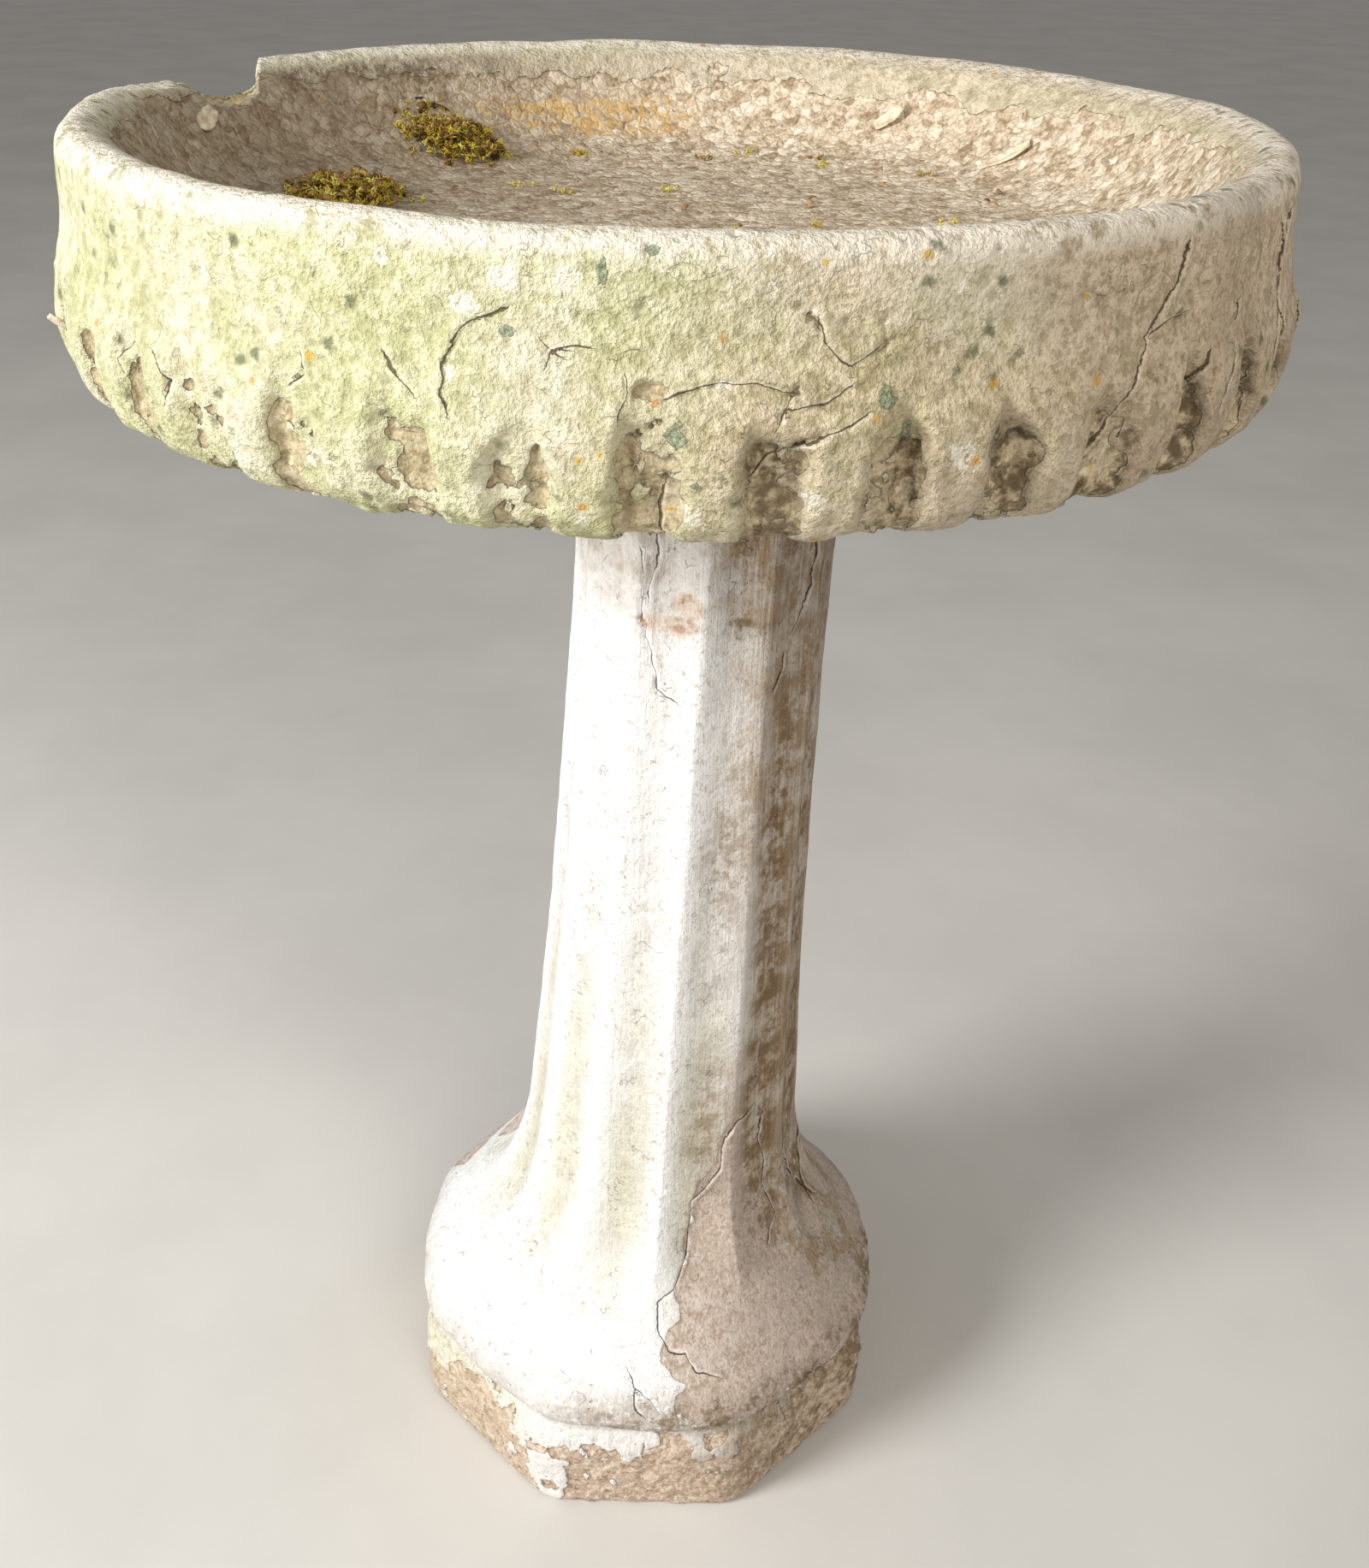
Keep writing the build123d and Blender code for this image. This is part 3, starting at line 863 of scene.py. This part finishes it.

    # algae on the left; dirt and painted shade in the hollows, on the underside and on the right; painted
    # shadow inside the bowl on the left
    right = smooth(-0.25, 0.70, -left + 0.35 * noise(70.0, 2, 61))
    algae = smooth(-0.55, 0.25, left + 0.30 * noise(55.0, 3, 63))
    algae = algae * outside * (1.0 - 0.6 * underside)
    algae = np.clip(algae + 0.7 * marks.spots(BASIN_ALGAE, 0.8, 0.6), 0, 1)
    algae = np.clip(algae - 0.35 * smooth(14, 3, np.abs(inward)), 0, 1)
    algae = np.clip(algae + 0.45 * inside * smooth(0.2, 0.7, -left), 0, 1)
    grime_and_shade = 0.60 * np.clip(hollow, 0, 1) * (0.25 + 1.45 * right) + 0.30 * right * low_band + 0.25 * underside
    # painted shadow of the rim inside the bowl on the left, and darker in the pits
    grime_and_shade += 0.95 * inside * smooth(-0.25, 0.80, left) + 0.30 * pits * outside
    grime_and_shade += 0.42 * right * outside * smooth(-0.1, 0.5, noise(32.0, 3, 64))
    below_crest = 0.25 * smooth(26, 6, np.abs(inward + 14)) * outside
    yellow = inside * smooth(26, 8, np.abs(inward - 44)) * 0.60 * smooth(0.55, 0.80, back)
    attributes = {
        "paint": paint,
        "coat": coat,
        "crack": np.clip(crack, -8, 8),
        "near": smooth(2.4, 1.2, plain),
        "algae": algae,
        # tan on the right outside, partly painted shade, and tan inside and near the crest
        "tan_and_shade": np.clip(right * outside * 0.9 + 0.5 * inside + 0.25 * smooth(12, 2, np.abs(inward)), 0, 1),
        "grime_and_shade": np.clip(grime_and_shade, 0, 1),
        "lichen": np.clip(outside * (1 - underside) + 0.5 * inside * smooth(0.0, 0.7, back), 0, 1),
        "crust": 0.8 * marks.spots(BASIN_LICHEN, 0.4, 0.6),
        "white": 0.7 * marks.spots(BASIN_WHITE, 0.6, 0.7) + below_crest,
        "orange": marks.spots(BASIN_ORANGE, 0.15),
        "yellow": yellow * smooth(-0.30, 0.05, left),
        "chips": inside,
        "flaky": 0.5 * outside + 0.3 * inside,
        "crest": smooth(14.0, 5.0, np.abs(inward + 1.5)),
    }
    material = weathered_paint("basin_surface", ON_BASIN, 1.45, False)
    basin = mesh_object("basin_casting", points, [surface.quads, surface.triangles], attributes, material)
    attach(basin, "basin")
    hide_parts("basin")
    return basin


# ======================================================================= pedestal
def pedestal_zones():
    base = smooth_path([
        (114, 0.6), (117.2, 3), (118.2, 12), (118.6, 28), (118.2, 42), (116.0, 50), (114.4, 55.5),
        (116.0, 60), (120.3, 64.5), (122.0, 71), (119.6, 79), (112.5, 87.5), (102.5, 100.5), (94, 112.5),
        (84.5, 128), (77.5, 142), (72.8, 156), (69.6, 172), (68.6, 178),
    ], 1.2)
    shaft = smooth_path([
        (68.6, 178), (67, 200), (62.9, 260), (59.6, 330), (57.2, 385), (55.4, 440), (54.6, 480), (55.2, 505),
        (56.3, 530), (56.5, HEAD_Z - 3.5), (55.6, HEAD_Z - 0.8), (54.5, HEAD_Z),
    ], 1.4)
    return [
        *flat_zones(0, (0, 14, 7.0, 45), (14, 40, 9.0, 90), (40, 75, 9.0, 180)),
        (straight_path([(75, 0), (112, 0), (114, 0.6)], 6.0), 360),
        (base, 720),
        (shaft, 360),
        *flat_zones(HEAD_Z, (54.5, 30, 4.0, 180), (30, SOCKET_RADIUS, 5.0, 90)),
        (straight_path([(SOCKET_RADIUS, HEAD_Z), (SOCKET_RADIUS, PEDESTAL_SOCKET_Z)], 8.0), 90),
        *flat_zones(PEDESTAL_SOCKET_Z, (SOCKET_RADIUS, 0, SOCKET_RADIUS, 90)),
    ]


def octagon(angle):
    """Radius of a unit octagon with rounded corners, one flat towards the front."""
    power = 34.0
    total = np.zeros(len(angle))
    for side in range(8):
        total += np.maximum(np.cos(angle - side * math.pi / 4), 0.0) ** power
    return total ** (-1.0 / power)


def make_pedestal():
    surface = Turned(pedestal_zones())
    flat, noise = surface.flat, surface.noise
    level = surface.height.copy()
    turned_radius = surface.radius.copy()

    # an octagon at the foot that rounds off into the bell, and scooped flutes above
    corners = np.interp(level, [0, 48, 57, 64, 84, 108], [1.0, 1.0, 0.75, 0.42, 0.22, 0.0])
    corners = np.where(turned_radius < 20, 0.0, corners * (level < 200))
    surface.radius = surface.radius * (1 + corners * (octagon(surface.angle) - 1))

    pitch = math.tau / FLUTES
    offset = (surface.angle / pitch - np.floor(surface.angle / pitch) - 0.5) * 2.0
    scoop = 0.6 * (1 - offset ** 2) + 0.4 * (0.5 + 0.5 * np.cos(math.pi * offset))
    uneven = 8.0 * surface.around(5.0, 71)
    depth = 3.6 * smooth(108, 138, level + uneven) + 2.4 * smooth(108, 132, level) * smooth(180, 142, level)
    depth *= smooth(25, 50, turned_radius)
    surface.radius = surface.radius - depth * scoop
    on_shaft = smooth(40, 150, level) * (turned_radius > 12)
    points = surface.points()
    points[:, 0] += SHAFT_LEAN * level * on_shaft
    normals = vertex_normals(points, surface.quads, surface.triangles)

    left = -np.cos(surface.angle)
    right = smooth(0.0, 0.85, -left + 0.25 * noise(60.0, 2, 81))
    side = smooth(3, 12, level) * (turned_radius > 50)
    foot = smooth(64, 50, level)
    lower = smooth(96, 66, level)
    wide = noise(70.0, 2, 85)
    fine = noise(10.0, 3, 86)

    wall = (turned_radius > 50) & (level > 2.0)
    marks = Marks(surface, level, np.maximum(surface.radius, 30.0), wall, fine, PEDESTAL_TURNS)
    crack, plain = marks.cracks(PEDESTAL_CRACKS, 1.1 * noise(8.0, 2, 87))
    plaster = marks.spots(PEDESTAL_PLASTER, 0.10)
    smear = marks.spots(PEDESTAL_SMEARS, 0.6)

    # how much paint and outer coat remain: little on the foot and the bead, and least on the right
    paint = 0.80 + 0.10 * wide + 0.40 * noise(24.0, 4, 83)
    paint -= 1.5 * smooth(64, 30, level + 26.0 * noise(30.0, 2, 84)) + 0.55 * lower * right
    paint = np.where(level > 120, np.maximum(paint, 0.35), paint)
    from_corner = (np.degrees(surface.angle) - CORNER_WITH_PAINT + 180.0) % 360.0 - 180.0
    corner = np.exp(-from_corner ** 2 / 10.0 ** 2)
    paint += (0.85 * noise(9.0, 4, 98) + 0.95 * corner) * lower
    gap = smooth(2.2, 0.6, plain) * (crack < 0) * smooth(0.10, 0.45, gradient_noise(flat / 11.0, 88))
    paint = paint - 0.9 * gap - 0.55 * smear
    coat = 0.55 + 0.25 * noise(28.0, 4, 89) + 0.15 * wide
    coat = coat - 0.85 * plaster - 0.35 * lower * right

    covered = smooth(-0.05, 0.05, paint)
    bare = 1.0 - covered
    coated = smooth(-0.05, 0.05, coat) * covered
    move = 0.7 * noise(55.0, 2, 91) + 0.25 * noise(15.0, 2, 93)
    move += (0.06 + 0.40 * bare + 0.5 * lower) * noise(6.0, 3, 95)
    move += 0.8 * lower * noise(22.0, 2, 96) + 0.6 * covered + 0.5 * coated
    lift = smooth(0.0, 0.5, noise(20.0, 2, 97))
    move += 0.7 * lift * covered * np.exp(-np.clip(paint, 0, 5) / 0.08)
    flap = smooth(4.5, 0.5, plain) * (crack > 0) * smooth(-0.4, 0.3, gradient_noise(flat / 13.0, 98))
    move += 0.8 * flap - 0.6 * np.exp(-(plain / 0.7) ** 2)
    still = smooth(0.0, 5.0, HEAD_Z - level) * (turned_radius > 45) * smooth(0.0, 3.0, level)
    points = points + normals * (move * still)[:, None]
    points[:, 2] = np.maximum(points[:, 2], 0.0)

    # dirt in the flutes, at the bead and in smears, darker and tan at the top of the shaft under the basin,
    # and painted shade on the right
    flute_dirt = scoop * smooth(112, 150, level) * smooth(520, 330, level)
    darker_under_basin = smooth(HEAD_Z - 105, HEAD_Z - 25, level) * (0.45 + 0.5 * smooth(-0.2, 0.5, fine))
    grime_and_shade = 0.78 * flute_dirt * (0.42 + 0.80 * right) + 0.50 * darker_under_basin + 0.75 * smear
    bead_dirt = smooth(18.0, 4.0, np.abs(level - BEAD_Z)) * (0.30 + 0.70 * smooth(0.5, -0.1, left))
    grime_and_shade += 0.90 * bead_dirt + 0.45 * foot * right + 0.42 * right * side
    flute_algae = 0.60 * scoop * smooth(380, 180, level) * smooth(90, 150, level)
    algae = 0.75 * foot * smooth(0.25, 0.9, np.abs(left)) + flute_algae
    # tan on the right, partly painted shade; tan in the flutes, low down and under the basin
    tan_and_shade = 1.10 * right * side + 0.12 * scoop * side * (level > 110) + 0.22 * lower
    tan_and_shade = tan_and_shade + 1.00 * darker_under_basin + 0.55 * bead_dirt
    attributes = {
        "paint": paint,
        "coat": coat,
        "crack": np.clip(crack, -8, 8),
        "near": smooth(2.4, 1.2, plain),
        "algae": np.clip(algae, 0, 1),
        "tan_and_shade": np.clip(tan_and_shade, 0, 1),
        "grime_and_shade": np.clip(grime_and_shade, 0, 1),
        "lichen": 0.10 * side,
        "white": 0.35 * smooth(40, 70, level) * smooth(110, 80, level) * side,
        "orange": 0.32 * marks.spots(PEDESTAL_SMEARS[:2], 0.9),
        "flaky": side * 0.75 * scoop,
    }
    attributes.update(dict.fromkeys(("crust", "yellow", "chips", "crest"), np.zeros(len(level))))
    material = weathered_paint("pedestal_surface", ON_PEDESTAL, 0.55, True)
    faces = [surface.quads, surface.triangles]
    pedestal = mesh_object("pedestal_casting", points, faces, attributes, material)
    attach(pedestal, "pedestal")
    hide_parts("pedestal")
    return pedestal


# ======================================================================= moss and litter
def spikes(rng, bases, directions, lengths, widths):
    """Closed three-sided spikes, one for each base point."""
    count = len(bases)
    directions = directions / np.linalg.norm(directions, axis=1)[:, None]
    side = np.cross(directions, rng.normal(size=(count, 3)))
    side /= np.linalg.norm(side, axis=1)[:, None]
    other = np.cross(directions, side)
    ring = []
    for k in range(3):
        turn = math.tau * k / 3
        ring.append(bases + widths[:, None] * (side * math.cos(turn) + other * math.sin(turn)))
    tips = bases + directions * lengths[:, None]
    points = np.stack(ring + [tips], axis=1).reshape(-1, 3)
    first = np.arange(count)[:, None] * 4
    faces = np.vstack([first + f for f in ([0, 1, 3], [1, 2, 3], [2, 0, 3], [0, 2, 1])])
    return points, faces


def moss_material():
    """The stored age runs from old brown moss (0) to fresh yellow-green (1), and is below 0 on dead bits."""
    n = Nodes("moss_tufts")
    age = n.plus(n.attribute("age"), n.times(n.minus(n.noise(5.0, 3.0), 0.5), 0.5))
    green = n.ramp(age, [
        (0.05, tint(84, 62, 30)),
        (0.35, tint(160, 126, 48)),
        (0.65, tint(206, 178, 66)),
        (1.00, tint(230, 222, 116)),
    ])
    dead = n.ramp(n.noise(6.0, 3.0), [(0.35, tint(112, 76, 44)), (0.65, tint(186, 146, 96))])
    colour = n.mix(n.span(n.attribute("age"), -0.4, -0.6), green, dead)
    return n.finish(colour, n.span(n.noise(3.0, 2.0), 0.3, 0.7, 0.8, 0.98), n.noise(1.2, 3.0), 0.3, 0.2)


def bowl_floor_z(radius):
    """Height of the bowl's inner surface."""
    wall = WALL_RADIUS
    return np.interp(radius, [0, 140, wall - 62, wall - 47, wall - 37, wall - 30, wall - 24],
                     [FLOOR_Z, FLOOR_Z + 0.3, RIM_Z - 42, RIM_Z - 36.5, RIM_Z - 29, RIM_Z - 20.5, RIM_Z - 12])


def tuft_spikes(rng, centres, blades, reach, ages):
    """Small bursts of leaves, one burst for each centre. Returns points, faces and ages."""
    bases = np.repeat(centres, blades, axis=0) + rng.normal(size=(len(centres) * blades, 3)) * 0.6
    directions = rng.normal(size=bases.shape)
    directions[:, 2] = np.abs(directions[:, 2]) + 0.15
    lengths = rng.uniform(0.5, 1.0, len(bases)) * reach
    widths = rng.uniform(0.30, 0.62, len(bases))
    points, faces = spikes(rng, bases, directions, lengths, widths)
    age = np.repeat(np.repeat(ages, blades), 4) + np.tile([-0.15, -0.15, -0.15, 0.20], len(bases))
    return points, faces, age


def leaf_bits(rng, centres, size):
    """Thin curled scraps of dead leaf, each a closed wedge of six points."""
    count = len(centres)
    turn = rng.uniform(0, math.tau, count)
    tilt = rng.uniform(-0.5, 0.5, count)
    along = np.column_stack([np.cos(turn), np.sin(turn), tilt])
    across = np.column_stack([-np.sin(turn), np.cos(turn), rng.uniform(-0.4, 0.4, count)])
    length = rng.uniform(0.5, 1.0, count)[:, None] * size
    width = length * rng.uniform(0.35, 0.7, count)[:, None]
    up = np.array([0.0, 0.0, 1.0])
    ends = [centres - along * length, centres + along * length]
    sides = [centres + across * width + up, centres - across * width + up]
    rows = [ends[0], sides[0], ends[1], sides[1]]
    rows += [centres + up * 0.3 - along * length * 0.1, centres + up * 1.4]
    points = np.stack(rows, axis=1).reshape(-1, 3)
    first = np.arange(count)[:, None] * 6
    upper = [first + f for f in ([0, 5, 1], [1, 5, 2], [2, 5, 3], [3, 5, 0])]
    lower = [first + f for f in ([1, 4, 0], [2, 4, 1], [3, 4, 2], [0, 4, 3])]
    return points, np.vstack([f[:, ::-1] for f in upper + lower]), np.full(len(points), -1.0)


def joined(parts):
    """Several sets of points, faces and what else is stored on the points, as one."""
    points, faces, *stored = zip(*parts)
    starts = np.cumsum([0] + [len(p) for p in points])
    faces = np.vstack([f + start for f, start in zip(faces, starts)])
    return np.vstack(points), faces, *(np.concatenate(values) for values in stored)


def make_moss(node, material, seed, tufts, twigs):
    """A loose clump that fills the CAD mound: tufts, scraps of leaf and a few twigs."""
    rng = np.random.default_rng(seed)
    low, high = (np.array(corner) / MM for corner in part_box(node))
    middle, half = (low + high) / 2, (high - low) / 2
    spread = rng.normal(size=(tufts, 2)) * 0.50
    clumped = layered_noise(np.column_stack([spread * 3.0, np.full(tufts, seed)]), 1.0, 2, seed) > -0.25
    spread = spread[(np.hypot(*spread.T) < 1.05) & clumped]
    x = middle[0] + spread[:, 0] * half[0]
    y = middle[1] + spread[:, 1] * half[1]
    ground = bowl_floor_z(np.hypot(x, y))
    mound = (high[2] - ground) * np.sqrt(np.clip(1 - (spread ** 2).sum(1), 0, 1)) * 0.85
    centres = np.column_stack([x, y, ground + np.clip(mound, 0.3, None) * rng.uniform(0.1, 1.0, len(x))])
    ages = np.clip(0.55 + 0.30 * rng.normal(size=len(centres)), 0, 1)
    parts = [tuft_spikes(rng, centres, 11, 3.0, ages)]
    leaves = rng.permutation(len(centres))[:len(centres) // 5]
    parts.append(leaf_bits(rng, centres[leaves] + [0, 0, 1.4], 4.4))
    starts = centres[rng.permutation(len(centres))[:twigs]] + [0, 0, 0.5]
    heading = rng.normal(size=(twigs, 3)) * [1.0, 1.0, 0.12]
    points, faces = spikes(rng, starts, heading, rng.uniform(10.0, 22.0, twigs), np.full(twigs, 0.5))
    parts.append((points, faces, np.full(len(points), -1.0)))
    points, faces, age = joined(parts)
    points[:, 2] = np.minimum(points[:, 2], high[2] + 7.0)
    piece = mesh_object(node + "_tufts", points, [faces], {"age": age}, material)
    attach(piece, "basin")
    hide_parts(node)


def make_litter(material):
    """Crumbs of moss and leaf scattered over the bowl's floor."""
    rng = np.random.default_rng(12)
    count, spread = 150, 168.0
    reach = spread * np.sqrt(rng.uniform(0.02, 1.0, count))
    turn = rng.uniform(0, math.tau, count)
    turn = np.where(rng.uniform(size=count) < 0.55, rng.normal(-1.75, 0.75, count), turn)
    x, y = reach * np.cos(turn), reach * np.sin(turn)
    centres = np.column_stack([x, y, bowl_floor_z(reach) + 0.6])
    ages = np.clip(0.75 + 0.25 * rng.normal(size=count), 0, 1)
    half = count // 2
    scatter = np.repeat(centres[:half], 3, axis=0) + rng.normal(size=(3 * half, 3)) * [2.2, 2.2, 0.0]
    crumbs = tuft_spikes(rng, scatter, 7, 2.8, np.repeat(ages[:half], 3))
    points, faces, age = joined([crumbs, leaf_bits(rng, centres[half:], 3.4)])
    piece = mesh_object("bowl_litter", points, [faces], {"age": age}, material)
    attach(piece, "basin")


# ======================================================================= loose flakes
# middle (x, y, z), the way the flake runs, the way it stands off, length, width, curl
FLAKES = [
    ((147, 110, 628.5), (17, -5, 8), (-0.5, -0.4, 0.8), 20.0, 6.5, 2.4),
    ((99, 162, 635.0), (13, 0, 7), (-0.3, -0.7, 0.6), 15.0, 6.0, 4.0),
    ((-191.5, 46.5, 644.5), (1, 9, 3), (0.7, -0.2, 0.7), 12.0, 8.0, 2.4),
    ((-210.5, -98.3, 599.5), (-8, -3.7, 4), (-0.2, 0.4, 0.9), 8.0, 5.5, 1.5),
]


def curled_plate(middle, run, stand, length, width, curl):
    """A thin closed plate that bends up towards one end, with a ragged outline."""
    columns, rows, thickness = 13, 7, 0.9
    run = np.array(run, float) / np.linalg.norm(run)
    across = np.cross(stand, run)
    across /= np.linalg.norm(across)
    stand = np.cross(run, across)
    u, v = np.meshgrid(np.linspace(-1, 1, columns), np.linspace(-1, 1, rows))
    u, v = u.reshape(-1, 1), v.reshape(-1, 1)
    ragged = gradient_noise(np.hstack([u * 3, 0 * u, 0 * u]) + middle[0], 121)[:, None]
    narrow = 1.0 - 0.45 * u ** 2 + 0.25 * ragged
    rise = curl * ((u + 1) / 2) ** 2 + 0.4 * curl * np.abs(v)
    sheet = np.array(middle, float) + run * u * length / 2 + across * v * narrow * width / 2 + stand * rise
    points = np.vstack([sheet + stand * thickness / 2, sheet - stand * thickness / 2])
    index = np.arange(rows * columns).reshape(rows, columns)
    lower = index + rows * columns
    top = np.stack([index[:-1, :-1], index[:-1, 1:], index[1:, 1:], index[1:, :-1]], axis=-1).reshape(-1, 4)
    rim = np.concatenate([index[0], index[1:, -1], index[-1, -2::-1], index[-2:0:-1, 0]])
    under = np.concatenate([lower[0], lower[1:, -1], lower[-1, -2::-1], lower[-2:0:-1, 0]])
    walls = np.column_stack([rim, under, np.roll(under, -1), np.roll(rim, -1)])
    return points, np.vstack([top, top[:, ::-1] + rows * columns, walls])


def make_flakes():
    """Flakes of paint that have come loose: three in the bowl, and one at the left end of the band."""
    n = Nodes("loose_paint")
    colour = n.ramp(n.noise(4.0, 4.0, 0.6), [(0.36, tint(194, 177, 148)), (0.62, tint(236, 226, 204))])
    material = n.finish(colour, n.span(n.noise(3.0, 2.0), 0.3, 0.7, 0.75, 0.95), n.noise(1.6, 3.0), 0.4, 0.22)
    points, faces = joined([curled_plate(*row) for row in FLAKES])
    piece = mesh_object("loose_flakes", points, [faces], {}, material)
    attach(piece, "basin")


# ======================================================================= metal
def steel_material(name, clean, rust, rust_share):
    n = Nodes(name)
    spots = n.span(n.noise(9.0, 5.0, 0.65), 0.62 - rust_share * 0.4, 0.72 - rust_share * 0.3)
    spangle = n.cells(6.0, output="Color")
    colour = n.mix(spots, n.mix(0.25, clean, spangle, "OVERLAY"), rust)
    n.shader.inputs["Metallic"].default_value = 0.85
    return n.finish(colour, n.span(spots, 0.0, 1.0, 0.42, 0.9), n.noise(2.0, 4.0), 0.1, 0.5)


def dress_metal(nodes):
    galvanised = steel_material("galvanised_pin", tint(168, 170, 170), tint(120, 84, 54), 0.2)
    rusty = steel_material("rusty_rods", tint(120, 104, 92), tint(112, 62, 34), 0.8)
    chosen = {
        "locating_pin": galvanised,
        "pedestal_rods": rusty,
        "basin_rim_wire": rusty,
        "basin_floor_bars": rusty,
    }
    for node, material in chosen.items():
        nodes[node].data.materials.clear()
        nodes[node].data.materials.append(material)


# ======================================================================= camera, floor, light
CAMERA_BACK = 0.6603
CAMERA_HEIGHT = 0.7510
CAMERA_DOWN = 0.5402
CAMERA_ROLL = 0.0248
CAMERA_TURN = -0.0064
CAMERA_LENS = 37.51
CAMERA_SHIFT = (0.0220, 0.0135)


def make_camera():
    down, turn = CAMERA_DOWN, CAMERA_TURN
    forward = Vector((math.sin(turn) * math.cos(down), math.cos(turn) * math.cos(down), -math.sin(down)))
    level = Vector((math.cos(turn), -math.sin(turn), 0.0))
    above = level.cross(forward)
    right = level * math.cos(CAMERA_ROLL) + above * math.sin(CAMERA_ROLL)
    up = above * math.cos(CAMERA_ROLL) - level * math.sin(CAMERA_ROLL)
    data = bpy.data.cameras.new("camera")
    data.lens = CAMERA_LENS
    data.sensor_width = 36.0
    data.shift_x, data.shift_y = CAMERA_SHIFT
    data.clip_start = 0.02
    camera = bpy.data.objects.new("camera", data)
    turned = Matrix((right, up, -forward)).transposed().to_4x4()
    camera.matrix_world = Matrix.Translation((0.0, -CAMERA_BACK, CAMERA_HEIGHT)) @ turned
    bpy.context.scene.collection.objects.link(camera)
    bpy.context.scene.camera = camera


def area_light(name, place, aim, size, power, colour):
    data = bpy.data.lights.new(name, "AREA")
    data.shape = "DISK"
    data.size = size
    data.energy = power
    data.color = colour
    light = bpy.data.objects.new(name, data)
    light.location = place
    light.rotation_euler = (Vector(aim) - Vector(place)).to_track_quat("-Z", "Y").to_euler()
    bpy.context.scene.collection.objects.link(light)


def make_studio():
    mesh = bpy.data.meshes.new("floor")
    reach = 12.0
    corners = [(-reach, -reach, 0), (reach, -reach, 0), (reach, reach, 0), (-reach, reach, 0)]
    mesh.from_pydata(corners, [], [(0, 1, 2, 3)])
    floor = bpy.data.objects.new("floor", mesh)
    bpy.context.scene.collection.objects.link(floor)
    n = Nodes("pale_floor")
    colour = n.mix(n.span(n.noise(220.0, 4.0), 0.3, 0.7), tint(206, 203, 198), tint(214, 211, 206))
    mesh.materials.append(n.finish(colour, 0.9, n.noise(3.0, 2.0), 0.05, 0.2))
    world = bpy.data.worlds.new("soft_surround")
    world.use_nodes = True
    background = world.node_tree.nodes["Background"]
    background.inputs["Color"].default_value = (0.87, 0.86, 0.84, 1.0)
    background.inputs["Strength"].default_value = 0.34
    bpy.context.scene.world = world
    area_light("window_left", (-1.78, -1.12, 1.30), (0.0, 0.0, 0.45), 0.9, 63.0, (1.0, 1.0, 0.99))
    area_light("fill_front", (1.0, -2.1, 2.1), (0.0, 0.0, 0.4), 1.6, 32.0, (1.0, 0.945, 0.87))
    bpy.context.scene.view_settings.view_transform = "Standard"


def main():
    make_basin()
    make_pedestal()
    tufts = moss_material()
    make_moss("moss_clump_behind", tufts, 5, 420, 9)
    make_moss("moss_clump_left", tufts, 6, 520, 7)
    make_litter(tufts)
    make_flakes()
    dress_metal(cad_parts)
    make_camera()
    make_studio()


main()
